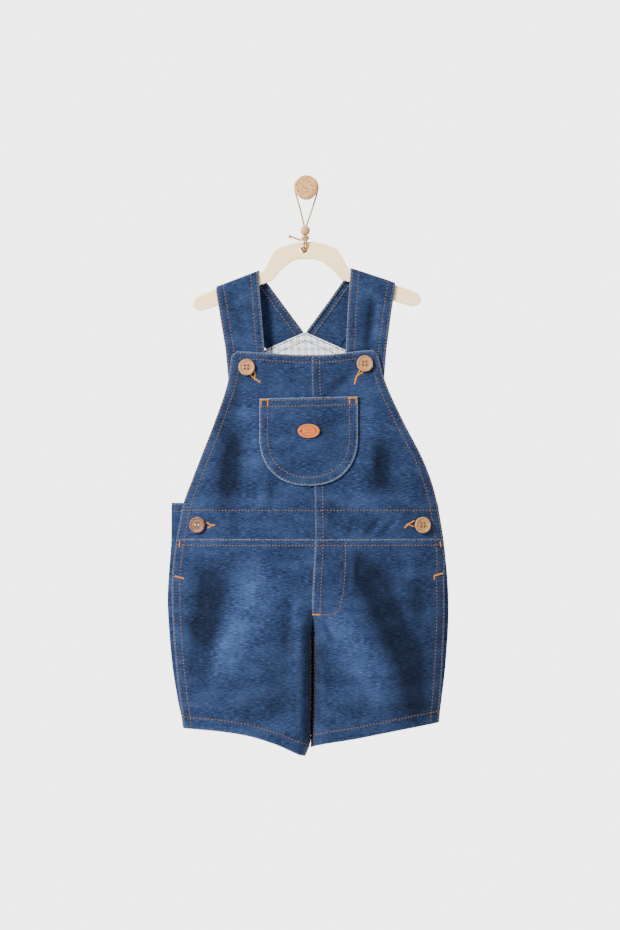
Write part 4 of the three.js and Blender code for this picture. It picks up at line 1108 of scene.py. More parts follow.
def strap_grid(side):
    """Points, wear and cloth map of a strap's outer face: columns from its outer to its inner edge, rows
    along it."""
    rows = strap_stations(side)
    share, shift = spread(STRAP_LINES, 20, STRAP_LINES)
    outer, inner, depth = rows[:, [0, 1]], rows[:, [2, 3]], rows[:, 4]
    width = np.linalg.norm(inner - outer, axis=1)
    u = share[:, None] + shift[:, None] / width
    x, z = mix(outer[:, 0], inner[:, 0], u), mix(outer[:, 1], inner[:, 1], u)
    on_the_front = smooth((depth - ARM_BACK - ARM_THICKNESS) / 0.6)
    fade = smooth((STRAP_HOLLOW_TOP - z) / 16) * smooth((z - STRAP_HOLLOW_BOTTOM) / 16) * on_the_front
    hollow = STRAP_HOLLOW_DEPTH * fade * np.sin(math.pi * u) ** 2
    creases = fold_height(STRAP_CREASES[side], x, z) * on_the_front
    middle = np.stack([x, -(depth - hollow + creases), z], axis=-1)
    from_edge = np.minimum(u, 1 - u) * width
    lift = STRAP_THICKNESS / 2 + pucker(from_edge, np.arange(len(rows)) * 1.25, 9.0)
    lift = lift - STITCH_DENT * stitch_dents(from_edge, *STRAP_ROWS)
    grid = middle + outward(middle, side) * lift[..., None]
    uv = np.stack([u * width, np.broadcast_to(lengths_along(middle, 1).mean(axis=0), u.shape)], axis=-1)
    return grid, 0.4 * bell(from_edge, 0.7), uv


# The pocket and its tag

POCKET_X, POCKET_TOP_Z, POCKET_SHOULDER_Z, POCKET_BOTTOM_Z = 2.4, -220.0, -262.0, -312.0
POCKET_HALF_WIDTH, POCKET_GAP, POCKET_SLOPE, POCKET_OPEN = 51.4, 0.5, 0.022, 1.1
MOUTH_ROWS = (2.2, 8.6)
TAG_X, TAG_Z, TAG_HALF_WIDTH, TAG_HALF_HEIGHT, TAG_THICKNESS, TAG_GAP = 2.5, -255.0, 11.5, 7.35, 1.2, 0.9
TAG_HOLE_AT, TAG_HOLE_RADIUS = 8.0, 0.9


def front_at(x, z):
    """The depth of the bib's face without its seams: the left half's or the right half's, whichever is
    there."""
    left, right = front_base(LEFT, x, z), front_base(RIGHT, x, z)
    return np.where(x < seam_x(z), left, right)


def pocket_half(t, inset=0.0):
    """The pocket's half outline, moved in by an inset: t from 0 at the top corner to 1 at the bottom middle.
    Straight down to the shoulder, then round as cos^0.85 across and sin^0.95 down."""
    straight = 0.36
    angle = np.clip((t - straight) / (1 - straight), 0, 1) * math.pi / 2
    across = np.maximum(np.cos(angle), 0) ** 0.85 * (POCKET_HALF_WIDTH - inset)
    depth = np.sin(angle) ** 0.95 * (POCKET_SHOULDER_Z - POCKET_BOTTOM_Z - inset)
    return across, mix(POCKET_TOP_Z, POCKET_SHOULDER_Z, np.clip(t / straight, 0, 1)) - depth


def pocket_depth(x, z):
    """The depth of the pocket's outer face: the bib's, a gap and a wall, and its mouth stands a little
    open."""
    across = (x - POCKET_X) / POCKET_HALF_WIDTH
    top = POCKET_TOP_Z + POCKET_SLOPE * (x - POCKET_X)
    opening = POCKET_OPEN * np.clip(1 - across ** 2, 0, 1) * (1 - smooth((top - z) / 16))
    below = np.clip((POCKET_SHOULDER_Z - z) / (POCKET_SHOULDER_Z - POCKET_BOTTOM_Z), 0, 1)
    reach = (np.abs(across) ** 2.3 + below ** 2.1) ** (1 / 2.2)
    from_edge = POCKET_HALF_WIDTH * (1 - reach)
    from_top = top - z
    dents = np.maximum(stitch_dents(from_edge, NEAR_ROW, FAR_ROW), stitch_dents(from_top, *MOUTH_ROWS))
    lift = HEM_LIFT * np.maximum(band(from_edge, FAR_ROW + 0.9), band(from_top, 9.4))
    lift = lift + 1.3 * pucker(np.minimum(from_edge, from_top), x * 0.6 + z)
    wear = np.maximum(0.55 * bell(from_edge, 0.8), 0.5 * bell(from_top, 0.9))
    return front_at(x, z) + POCKET_GAP + CLOTH + opening + lift - STITCH_DENT * dents, wear


def on_pocket(x, z):
    """Points of the pocket's face at x, z, and its outward direction there."""
    x, z = np.broadcast_arrays(np.asarray(x, float), np.asarray(z, float))
    reach = 0.5
    across = (pocket_depth(x + reach, z)[0] - pocket_depth(x - reach, z)[0]) / (2 * reach)
    up = (pocket_depth(x, z + reach)[0] - pocket_depth(x, z - reach)[0]) / (2 * reach)
    points = np.stack([x, -pocket_depth(x, z)[0], z], axis=-1)
    return points, unit(np.stack([-across, -np.ones_like(x), -up], axis=-1))


def pocket_grid():
    """Points and wear of the pocket: columns across, rows down its outline to the round lower edge."""
    t = np.concatenate([np.linspace(0, 0.99, 96), [0.997]])
    half, level = pocket_half(t)
    share, shift = spread(EDGE_LINES[:8], 64, EDGE_LINES[:8])
    across = mix(-1.0, 1.0, share + shift / (2 * POCKET_HALF_WIDTH))
    x = POCKET_X + across[:, None] * half
    z = level + POCKET_SLOPE * across[:, None] * half * np.clip(1 - t / 0.36, 0, 1)
    depth, wear = pocket_depth(x, z)
    return np.stack([x, -depth, z], axis=-1), wear


# Stitching

# A stitch's length as a share of the pitch, its width and height, and how far its middle lies off the cloth
STITCH_LENGTH, STITCH_WIDTH, STITCH_HEIGHT, STITCH_LIFT = 0.7, 1.05, 0.7, 0.22
# One stitch, as rings along it: how far along, how wide, and how high its middle lies.
STITCH_RINGS = table("along wide high", (-0.36, 0.8, -0.22), (0.0, 1.0, 0.1), (0.36, 0.8, -0.22))
STITCH_SIDES = 6


def stitch_form():
    """The points and faces of one stitch, 1 long, 1 wide and 1 high: three rings and two ends that dip in."""
    angle = np.linspace(0, 2 * math.pi, STITCH_SIDES, endpoint=False)
    wide = STITCH_RINGS["wide"][:, None] / 2
    place = np.broadcast_to(STITCH_RINGS["along"][:, None], (3, STITCH_SIDES))
    high = wide * np.sin(angle) + STITCH_RINGS["high"][:, None]
    rings = np.stack([place, wide * np.cos(angle), high], axis=-1)
    points, faces = ringed_solid(rings)
    points[-2] = (-0.5, 0, -0.55)
    points[-1] = (0.5, 0, -0.55)
    return points, faces


def laid_stitches(centres, directions, normals, length, width, height):
    """Copies of one stitch: centre + along its direction + across + up its normal, each by the form's
    points."""
    form, faces = stitch_form()
    sides = unit(np.cross(normals, directions))
    length, width = np.reshape(length, (-1, 1, 1)), np.reshape(width, (-1, 1, 1))
    points = (
        centres[:, None]
        + form[None, :, 0:1] * length * directions[:, None]
        + form[None, :, 1:2] * width * sides[:, None]
        + form[None, :, 2:3] * height * normals[:, None]
    )
    starts = np.arange(len(centres)) * len(form)
    all_faces = []
    for size in (4, 3):
        alike = np.array([face for face in faces if len(face) == size])
        all_faces += (alike[None] + starts[:, None, None]).reshape(-1, size).tolist()
    return points.reshape(-1, 3), all_faces


def even_places(points, normals, pitch):
    """Places at an even pitch along a line of points, with the line's direction and the normal at each."""
    walked = np.concatenate([[0], np.cumsum(np.linalg.norm(np.diff(points, axis=0), axis=1))])
    count = max(2, int(round(walked[-1] / pitch)))
    at = (np.arange(count) + 0.5) / count * walked[-1]
    directions = np.gradient(points, axis=0) / np.maximum(np.gradient(walked), 1e-9)[:, None]

    def sample(values):
        return np.stack([np.interp(at, walked, values[:, k]) for k in range(3)], axis=1)

    normal = unit(sample(normals))
    direction = sample(directions)
    direction = unit(direction - normal * np.sum(direction * normal, axis=1, keepdims=True))
    return sample(points), direction, normal


def running_stitches(rows, pitch, seed):
    """Rows of top-stitching: a stitch at each pitch, turned and sized a little unevenly."""
    uneven = np.random.default_rng(seed)
    parts = []
    for points, normals in rows:
        centres, directions, normal = even_places(points, normals, pitch)
        sides = np.cross(normal, directions)
        turned = unit(directions + sides * uneven.normal(0, 0.05, (len(centres), 1)))
        length = pitch * STITCH_LENGTH * uneven.uniform(0.92, 1.06, len(centres))
        middles = centres + normal * STITCH_LIFT
        parts.append(laid_stitches(middles, turned, normal, length, STITCH_WIDTH, STITCH_HEIGHT))
    return joined(parts)


def satin_stitches(rows, pitch=0.62, height=0.9):
    """Rows of close stitches that lie across the row. Each row has its points, its normals and its widths
    from start to end."""
    parts = []
    for points, normals, widths in rows:
        centres, directions, normal = even_places(points, normals, pitch)
        across = unit(np.cross(normal, directions))
        width = np.interp(np.linspace(0, 1, len(centres)), np.linspace(0, 1, len(widths)), widths)
        parts.append(laid_stitches(centres + normal * 0.3, across, normal, width, pitch * 1.15, height))
    return joined(parts)


def front_line(side, part, places, count=40):
    """Points and normals along straight lines between places x, z on the front."""
    places = np.asarray(places, float)
    walked = np.concatenate([[0], np.cumsum(np.linalg.norm(np.diff(places, axis=0), axis=1))])
    at = np.linspace(0, walked[-1], count)
    return on_front(side, part, np.interp(at, walked, places[:, 0]), np.interp(at, walked, places[:, 1]))


def front_rows(side):
    """The rows of top-stitching on one half of the front: along its side edge, top edge, middle seam, the
    facing's lower edge, the waist seam, the leg's side and the hem."""
    rows = []
    steps = 160
    for row in (NEAR_ROW, FAR_ROW):
        z = np.linspace(-174.0 - row, WAIST_Z + 0.5, steps)
        rows.append(on_front(side, "bib", edge_x(side, z) - side * row, z))
        z = np.linspace(WAIST_Z - 1.0, HEMS[side]["z"][0] + 1.0, steps)
        rows.append(on_front(side, "leg", edge_x(side, z) - side * row, z))
    for row in (NEAR_ROW, FAR_ROW - 1.2):
        x = np.linspace(edge_x(side, -174.0) - side * row, seam_x(-176.0) + side * 0.4, steps)
        z = bib_top(side, panel_share(side, x, np.full(steps, -174.0))) - row
        rows.append(on_front(side, "bib", x, z))
    x = np.linspace(edge_x(side, FACING_ROW_Z) - side, seam_x(FACING_ROW_Z) + side, steps)
    rows.append(on_front(side, "bib", x, np.full(steps, FACING_ROW_Z)))
    for row in (LAP_NEAR_ROW, WAIST_FAR_ROW):
        x = np.linspace(edge_x(side, WAIST_Z) - side, seam_x(WAIST_Z) + side, steps)
        rows.append(on_front(side, "leg", x, np.full(steps, WAIST_Z - row)))
    if side == RIGHT:
        for row in (LAP_NEAR_ROW, LAP_FAR_ROW):
            z = np.linspace(-176.5, WAIST_Z + 0.5, steps)
            rows.append(on_front(side, "bib", seam_x(z) + row, z))
            z = np.linspace(WAIST_Z - 1.0, -445.0, steps)
            rows.append(on_front(side, "leg", seam_x(z) + row, z))
    start, end = edge_x(side, -560.0), inner_x(side, -584.0) + side * 2.0
    x = np.linspace(start - side * 0.8, end, steps)
    z = hem_z(side, panel_share(side, x, np.full(steps, -575.0))) + HEM_ROW
    rows.append(on_front(side, "leg", x, z))
    z = np.linspace(-470.0, HEMS[side]["z"][-1] + 1.5, steps)
    rows.append(on_front(side, "leg", inner_x(side, z) + side * 2.2, z))
    return rows


# Places on the photograph's front, x and z in millimetres: the fly's curved row and the bartacks' ends
FLY_ROW = ((41.3, -370.6), (40.5, -399.6), (38.9, -422.9), (34.0, -442.4), (24.4, -446.7), (14.3, -446.3))
BARTACKS = (
    (RIGHT, "leg", ((6.2, -446.6), (14.6, -446.6)), 2.2),
    (LEFT, "leg", ((-138.2, -407.4), (-128.4, -409.9)), 2.2),
    (RIGHT, "leg", ((143.6, -404.4), (134.2, -406.8)), 2.2),
    (RIGHT, "leg", ((134.2, -406.8), (134.4, -411.0)), 1.8),
    (LEFT, "leg", ((-132.8, -370.4), (-133.4, -376.4)), 1.6),
    (RIGHT, "leg", ((140.4, -371.2), (141.6, -376.4)), 1.6),
)
# Keyhole buttonholes: two legs from beside the button to where they meet, and a bar from there to the tip
BUTTONHOLES = (
    (LEFT, (-54.0, -192.8), (-58.8, -196.0), (-54.0, -200.3), (-48.1, -203.8)),
    (RIGHT, (56.9, -190.2), (59.6, -192.8), (52.6, -198.1), (50.5, -206.2)),
    (LEFT, (-104.7, -350.8), (-103.3, -356.8), (-99.0, -353.9), (-95.4, -353.3)),
    (RIGHT, (113.5, -348.9), (112.9, -355.2), (106.6, -352.7), (102.7, -356.5)),
)


def strap_rows(side):
    """The four rows of stitching along a strap, and the inner edge's two on its inner face behind the arm."""
    grid, _, _ = strap_grid(side)
    behind = strap_stations(side)[:, 4] < STRAP_BEHIND + 0.2
    normals = outward(grid, side)
    share, shift = spread(STRAP_LINES, 20, STRAP_LINES)
    columns = [STRAP_LINES.index(row) for row in STRAP_ROWS]
    columns += [len(share) - 1 - k for k in columns]
    rows = [(grid[k, 1:-1], normals[k, 1:-1]) for k in columns]
    inner = grid - normals * STRAP_THICKNESS
    return rows + [(inner[k, behind], -normals[k, behind]) for k in columns[2:]]


def pocket_rows():
    """The pocket's rows: two round its sides and two under its mouth."""
    rows = []
    for inset in (NEAR_ROW, FAR_ROW):
        t = np.linspace(0.012, 1.0, 140)
        half, level = pocket_half(t, inset)
        x = np.concatenate([POCKET_X - half, (POCKET_X + half)[::-1][1:]])
        rows.append(on_pocket(x, np.concatenate([level, level[::-1][1:]])))
    for row in MOUTH_ROWS:
        x = np.linspace(POCKET_X - POCKET_HALF_WIDTH + 1.5, POCKET_X + POCKET_HALF_WIDTH - 1.5, 120)
        rows.append(on_pocket(x, POCKET_TOP_Z + POCKET_SLOPE * (x - POCKET_X) - row))
    return rows


def back_rows():
    """The rows on the back: the upper back's shoulders and armhole edges, the waist band's top edge all
    the way round, the waist seam and the hems."""
    rows = []
    steps = 160
    facing = np.tile([0.0, 1.0, 0.0], (steps, 1))
    waist, _ = waist_grid()
    waist_normals = outward(waist, RIGHT)
    for row in (NEAR_ROW, FAR_ROW):
        for side in (LEFT, RIGHT):
            z = np.linspace(SHOULDER_Z - row, UPPER_BACK_BOTTOM_Z + 1, steps)
            x = along(BACK_ROWS, side_name(side), z) - side * row
            raised = z + gable_rise(x, z, UPPER_BACK_BOTTOM_Z)
            rows.append((np.stack([x, -back_depth(x, raised), raised], axis=-1), facing))
        x = np.linspace(BACK_ROWS["left"][0] + row, BACK_ROWS["right"][0] - row, steps)
        z = shoulder_edge(x) - row
        rows.append((np.stack([x, -back_depth(x, z), z], axis=-1), facing))
        level = WAIST_LINES.index(row)
        rows.append((waist[:, level], waist_normals[:, level]))
    for row in (LAP_NEAR_ROW, WAIST_FAR_ROW):
        z = np.full(steps, WAIST_Z - row)
        x = mix(along(SIDE_ROWS, "left", z), along(SIDE_ROWS, "right", z), np.linspace(0.04, 0.96, steps))
        rows.append((np.stack([x, -back_depth(x, z, 0.5), z], axis=-1), facing))
    hem = -1 - HEM_LINES.index(HEM_ROW)
    for side in (LEFT, RIGHT):
        leg, _ = back_leg_grid(side)
        rows.append((leg[:, hem], outward(leg, -side)[:, hem]))
    return rows


def facing_rows():
    """The two rows along the facing's gable."""
    rows = []
    steps = 160
    normals = np.tile([0.0, -1.0, 0.0], (steps, 1))
    for row in (NEAR_ROW, FAR_ROW):
        x = np.linspace(BACK_ROWS["left"][0] + row, BACK_ROWS["right"][0] - row, steps)
        rows.append((np.stack([x, np.full(steps, -FACING_DEPTH), shoulder_edge(x) - row], axis=-1), normals))
    return rows


# Buttons, beads and cords

BUTTON_RADIUS, BUTTON_THICKNESS, BUTTON_DISH, BUTTON_GAP = 8.6, 3.0, 0.7, 0.5
BUTTON_HOLE_AT, BUTTON_HOLE_RADIUS = 1.75, 1.12
BUTTONS = {
    "bib_left": (-62.5, -188.2, "button wood", "brown thread"),
    "bib_right": (61.3, -184.4, "button wood", "brown thread"),
    "side_left": (-113.9, -353.5, "dark button wood", "pale thread"),
    "side_right": (121.5, -353.6, "button wood", "brown thread"),
}
# The radius and height of a button's face from its back's middle round the rim to the dish
BUTTON_PROFILE = (
    (0.6, 0.0), (4.0, 0.0), (7.4, 0.0), (8.1, 0.3), (8.5, 0.9), (8.6, 1.5), (8.55, 2.1), (8.3, 2.6),
    (7.9, 2.9), (7.4, 3.0), (6.9, 2.9), (6.4, 2.6), (5.9, 2.38), (5.4, 2.3),
)


def button_frame(x, z):
    """Where a button sits on the front, and the way it faces: square to the cloth over 6 mm to each side."""
    reach = 6.0
    across = (front_plain(x + reach, z) - front_plain(x - reach, z)) / (2 * reach)
    up = (front_plain(x, z + reach) - front_plain(x, z - reach)) / (2 * reach)
    facing = unit(np.array([-across, -1.0, -up]))
    return np.array([x, -front_plain(x, z), z]) + facing * BUTTON_GAP, facing


def front_plain(x, z):
    """The depth of the front's face with its large folds only, as the CAD has it."""
    side = LEFT if x < seam_x(z) else RIGHT
    return float(front_base(side, np.array(float(x)), np.array(float(z)), small=False))


def button_solid(x, z):
    """A turned button: its profile is spun from the back's middle to the front's, and four holes are sunk
    in the front as pits of depth 2 whose walls are soft steps."""
    foot, facing = button_frame(x, z)
    inner = np.linspace(5.2, 0.1, 34)
    radii = np.array([r for r, _ in BUTTON_PROFILE] + inner.tolist())
    heights = np.array([h for _, h in BUTTON_PROFILE] + [BUTTON_THICKNESS - BUTTON_DISH] * len(inner))
    sides = 64
    angle = np.linspace(0, 2 * math.pi, sides, endpoint=False)
    across = radii[:, None] * np.cos(angle)
    up = radii[:, None] * np.sin(angle)
    from_hole = np.hypot(np.abs(across) - BUTTON_HOLE_AT, np.abs(up) - BUTTON_HOLE_AT)
    on_top = (np.arange(len(radii)) >= len(BUTTON_PROFILE))[:, None]
    height = heights[:, None] - 2.0 * (1 - smooth((from_hole - BUTTON_HOLE_RADIUS + 0.25) / 0.3)) * on_top
    up_way = unit(np.array([0.0, 0.0, 1.0]) - facing * facing[2])
    side_way = np.cross(up_way, facing)
    rings = foot + across[..., None] * side_way + up[..., None] * up_way + height[..., None] * facing
    return ringed_solid(rings)


def button_threads(x, z):
    """Two bars of three threads each, between the left pair and the right pair of a button's holes."""
    foot, facing = button_frame(x, z)
    up_way = unit(np.array([0.0, 0.0, 1.0]) - facing * facing[2])
    side_way = np.cross(up_way, facing)
    arch = np.linspace(-1, 1, 15)
    rise = BUTTON_THICKNESS - BUTTON_DISH + 0.3 - 1.9 * np.abs(arch) ** 4
    parts = []
    for bar in (-BUTTON_HOLE_AT, BUTTON_HOLE_AT):
        for offset in (-0.26, 0.0, 0.26):
            path = (
                foot
                + (bar + offset) * side_way
                + (arch * (BUTTON_HOLE_AT + 0.1))[:, None] * up_way
                + (rise + (0.14 if offset == 0.0 else 0.0))[:, None] * facing
            )
            parts.append(tube(path, 0.2, 8, side_way))
    return joined(parts)


KNOB_PROFILE = (
    (0.3, 0.0), (6.0, 0.0), (10.2, 0.0), (10.6, 0.4), (10.6, 6.0), (10.6, 12.0), (10.6, 18.6), (10.8, 19.6),
    (11.5, 20.2), (12.1, 20.6), (12.3, 21.4), (12.3, 24.0), (12.3, 26.2), (12.15, 26.9), (11.75, 27.5),
    (11.1, 27.9), (10.4, 28.0), (8.0, 28.0), (6.0, 28.0), (4.0, 28.0), (2.0, 28.0), (0.5, 28.0),
)
BEAD_X, BEAD_DEPTH, BEAD_Z, BEAD_RADIUS, BEAD_BORE = -1.2, 15.6, -44.7, 5.15, 2.6

# The twine: x, depth and z of its middle, from the stopper knot behind the hanger's hole, up through the
# bead, over the knob and back
LOOP_ROUTE = (
    (-2.6, 5.4, -64.2), (-2.6, 10.5, -64.3), (-2.4, 14.9, -62.3), (-2.35, 15.7, -58.2), (-2.3, 15.6, -52.5),
    (-2.3, 15.6, -44.6), (-2.4, 15.7, -39.4), (-6.6, 16.3, -22.0), (-11.6, 16.6, -3.4), (-11.3, 16.6, 4.6),
    (-7.7, 16.6, 9.5), (0.0, 16.6, 12.2), (7.7, 16.6, 9.5), (11.3, 16.6, 4.6), (11.6, 16.6, -3.4),
    (6.0, 16.3, -22.0), (0.2, 15.7, -39.4), (-0.1, 15.6, -44.6), (-0.1, 15.6, -52.5), (0.1, 15.7, -58.2),
    (0.0, 14.9, -62.3), (-0.3, 10.5, -64.3), (-0.4, 5.4, -64.2),
)
STOPPER_X, STOPPER_DEPTH, STOPPER_Z, STOPPER_RADIUS, STOPPER_HALF_DEPTH = -1.3, 5.3, -64.0, 5.2, 2.5
KNOT_X, KNOT_DEPTH, KNOT_TOP_Z, KNOT_PITCH, KNOT_TURNS, KNOT_RADIUS = -1.2, 15.6, -51.2, 2.0, 1.5, 3.3
KNOT_FREE_END = ((-6.2, 13.6, -54.2), (-10.0, 13.9, -53.0), (-14.4, 15.2, -51.2))
STRAND_LAY, STRAND_RADIUS, STRAND_TWIST = 0.48, 0.56, 4.2


def to_points(route):
    """Points from rows of x, depth and z."""
    route = np.asarray(route, float)
    return route * np.array([1.0, -1.0, 1.0])


# The hanger: half its outline from the middle of the top edge to the middle of the lower edge, about its
# own centre
HANGER_X, HANGER_Z, HANGER_TILT, HANGER_HOLE_X, HANGER_HOLE_RADIUS = -0.6, -63.5, 0.02, -2.3, 4.6
HANGER_TOP = (
    (0, 7.3), (10, 7.0), (24, 3.2), (32.6, -0.4), (38.8, -10.6), (43.8, -21.4), (46.6, -23.1), (94.5, -40.3),
    (113.5, -47.2), (120.4, -53.6),
)
HANGER_UNDER = (
    (0, -10.2), (8, -10.5), (15.6, -12.8), (26.8, -21.4), (36.2, -32.6), (48.3, -36.6), (93, -56.9),
    (111, -62.8), (119, -60.6), (120.4, -53.6),
)


def rounded_line(corners, step=0.8, window=9):
    """A line of corners with its corners rounded: resampled evenly, then smoothed by a moving mean."""
    corners = np.asarray(corners, float)
    walked = np.concatenate([[0], np.cumsum(np.linalg.norm(np.diff(corners, axis=0), axis=1))])
    at = np.linspace(0, walked[-1], int(walked[-1] / step))
    even = np.stack([np.interp(at, walked, corners[:, k]) for k in range(2)], axis=1)
    padded = np.pad(even, ((window // 2, window // 2), (0, 0)), mode="wrap")
    kernel = np.ones(window) / window
    return np.stack([np.convolve(padded[:, k], kernel, mode="valid") for k in range(2)], axis=1)


def hanger_outline():
    """The whole outline of the hanger, round it once, before it is tilted."""
    right = list(HANGER_TOP) + list(HANGER_UNDER[:-1])[::-1]
    left = [(-x, z) for x, z in right[::-1]][1:-1]
    return rounded_line(right + left + [right[0]])


def plate_with_hole(outline, hole, thickness, rounding):
    """A plate cut to an outline with a round hole, from a filled flat curve with rounded edges, made a
    mesh."""
    curve = bpy.data.curves.new("plate", "CURVE")
    curve.dimensions = "2D"
    curve.fill_mode = "BOTH"
    curve.extrude = (thickness / 2 - rounding) * MM
    curve.bevel_depth = rounding * MM
    curve.offset = -rounding * MM
    curve.bevel_resolution = 3
    for line in (outline, hole):
        spline = curve.splines.new("POLY")
        spline.points.add(len(line) - 1)
        flat = np.column_stack([line * MM, np.zeros(len(line)), np.ones(len(line))])
        spline.points.foreach_set("co", flat.ravel())
        spline.use_cyclic_u = True
    holder = bpy.data.objects.new("plate", curve)
    bpy.context.scene.collection.objects.link(holder)
    mesh = bpy.data.meshes.new_from_object(holder.evaluated_get(bpy.context.evaluated_depsgraph_get()))
    bpy.data.objects.remove(holder)
    return mesh


# The add-on

# How bright the pale wall behind the garment and the room before it are
WALL_LIGHT, ROOM_LIGHT = 4.4, 0.62


def length_property(name, description, default):
    """A length that a user may change, in metres."""
    settings = {"name": name, "description": description, "default": default, "precision": 5}
    return FloatProperty(unit="LENGTH", subtype="DISTANCE", **settings)


def colour_property(name, description, default):
    """A colour that a user may change, from its sRGB hex value."""
    settings = {"name": name, "description": description, "default": linear(default), "min": 0.0, "max": 1.0}
    return FloatVectorProperty(subtype="COLOR", size=4, **settings)


class DungareesSizes(bpy.types.PropertyGroup):
    """The sizes that a user may change."""

    stitch_pitch: length_property("Stitch pitch", "Distance from one top-stitch to the next", 3.5 * MM)
    camera_distance: length_property("Camera distance", "How far the camera stands before the wall", 2.3207)
    camera_across: length_property(
        "Camera across", "How far the camera stands to the right of the knob", 0.0038
    )
    camera_height: length_property("Camera height", "The camera's height, from the knob", -0.2906)
    floor_height: length_property("Floor height", "The floor's height, from the knob", -1.0)
    floor_radius: length_property("Floor radius", "The radius of the round floor", 0.9)


class DungareesColours(bpy.types.PropertyGroup):
    """The colours that a user may change."""

    denim_dark: colour_property("Denim dark", "Colour of the darkest yarn", "#0a1226")
    denim_mid: colour_property("Denim mid", "Main colour of the cloth", "#151e37")
    denim_light: colour_property("Denim light", "Colour of the palest yarn", "#394e74")
    denim_worn: colour_property("Denim worn", "Colour of worn edges", "#6680a8")
    gingham_pale: colour_property("Gingham pale", "Colour of the facing's pale squares", "#dfe2e5")
    gingham_dark: colour_property("Gingham dark", "Colour of the facing's dark squares", "#a0a7b0")
    thread_tan: colour_property("Tan thread", "Colour of the top-stitching", "#65461f")
    thread_orange: colour_property("Orange thread", "Colour of bartacks and buttonholes", "#b87204")
    button: colour_property("Button wood", "Main colour of the buttons", "#a3754b")
    birch: colour_property("Birch", "Main colour of the hanger", "#fbdcae")
    cork_pale: colour_property("Cork pale", "Colour of the palest granules", "#d3a46d")
    cork_dark: colour_property("Cork dark", "Colour of the darkest granules", "#8f6136")
    bead: colour_property("Bead", "Main colour of the bead", "#c4935f")
    twine: colour_property("Twine", "Colour of the twine's palest fibres", "#bb9358")
    leather: colour_property("Leather", "Main colour of the tag", "#a9561f")
    leather_pressed: colour_property("Pressed leather", "Colour of the tag's pressed lines", "#6a2a0e")
    floor: colour_property("Floor", "Colour of the floor", "#e6e4e0")


class StageOperator(bpy.types.Operator):
    """Adds the floor, the soft lights and the camera"""

    bl_idname = "dungarees.add_stage"
    bl_label = "Stage and Camera"

    def execute(self, context):
        sizes = context.scene.dungarees_sizes
        angle = np.linspace(0, 2 * math.pi, 96, endpoint=False)
        radii = np.linspace(0.02, sizes.floor_radius / MM, 12)[:, None]
        top = np.stack([radii * np.cos(angle), radii * np.sin(angle), np.zeros((12, 96))], axis=-1)
        rings = np.concatenate([top, top[::-1] - np.array([0, 0, 4.0])])
        points, faces = ringed_solid(rings)
        points = points + np.array([0.0, -60.0, sizes.floor_height / MM])
        floor = make_object("studio_floor", points, [face[::-1] for face in faces])
        floor.data.materials.append(material("floor"))
        self.add_light("key_light", (-1.7, -1.5, 0.95), 0.55, 240.0, (1.0, 0.985, 0.96))
        self.add_light("fill_light", (1.7, -1.6, 0.1), 1.4, 14.0, (0.96, 0.98, 1.0))
        self.add_studio(context)
        lens = bpy.data.cameras.new("camera")
        lens.lens = 85.0
        camera = bpy.data.objects.new("camera", lens)
        camera.location = (sizes.camera_across, -sizes.camera_distance, sizes.camera_height)
        camera.rotation_euler = (math.pi / 2, 0.0, 0.0)
        context.scene.collection.objects.link(camera)
        context.scene.camera = camera
        return {"FINISHED"}

    def add_studio(self, context):
        """The room's light: a bright pale wall behind the garment, and a dimmer room before it."""
        world = bpy.data.worlds.new("pale_studio")
        world.use_nodes = True
        tree = world.node_tree
        sky = next(node for node in tree.nodes if node.type == "BACKGROUND")
        direction = add(tree, COORDINATE, {}).node.outputs["Generated"]
        toward_wall = add(tree, "ShaderNodeSeparateXYZ", {}, direction).node.outputs["Y"]
        strength = add(tree, MAP_RANGE, STEP, toward_wall, -0.2, 0.5, ROOM_LIGHT, WALL_LIGHT)
        tree.links.new(strength, sky.inputs["Strength"])
        sky.inputs["Color"].default_value = linear("#fdfcfb")
        context.scene.world = world

    def add_light(self, name, place, size, power, colour):
        """Adds a square soft light that looks at the garment's middle."""
        light = bpy.data.lights.new(name, "AREA")
        light.size = size
        light.energy = power
        light.color = colour
        lamp = bpy.data.objects.new(name, light)
        toward = unit(np.array([0.0, -0.02, -0.33]) - np.array(place))
        lamp.location = place
        lamp.rotation_euler = (math.acos(-toward[2]), 0.0, math.atan2(toward[1], toward[0]) - math.pi / 2)
        bpy.context.scene.collection.objects.link(lamp)


class BibOperator(bpy.types.Operator):
    """Adds the two halves of the bib"""

    bl_idname = "dungarees.add_bib"
    bl_label = "Bib"

    def execute(self, context):
        for side in (LEFT, RIGHT):
            name = side_name(side)
            grid, wear = bib_grid(side)
            piece = cloth_object(f"bib_{name}_cloth", grid, CLOTH, side, wear, (FRONT_FOLDS, CREASES))
            finish_piece(piece, material("denim"), "denim", f"bib_{name}")
        return {"FINISHED"}


class FrontLegsOperator(bpy.types.Operator):
    """Adds the legs' front panels"""

    bl_idname = "dungarees.add_front_legs"
    bl_label = "Front Legs"

    def execute(self, context):
        for side in (LEFT, RIGHT):
            name = side_name(side)
            grid, wear = leg_grid(side)
            folds = (FRONT_FOLDS, CREASES)
            piece = cloth_object(f"front_leg_{name}_cloth", grid, CLOTH, side, wear, folds)
            finish_piece(piece, material("denim"), "denim", f"front_leg_{name}")
        return {"FINISHED"}


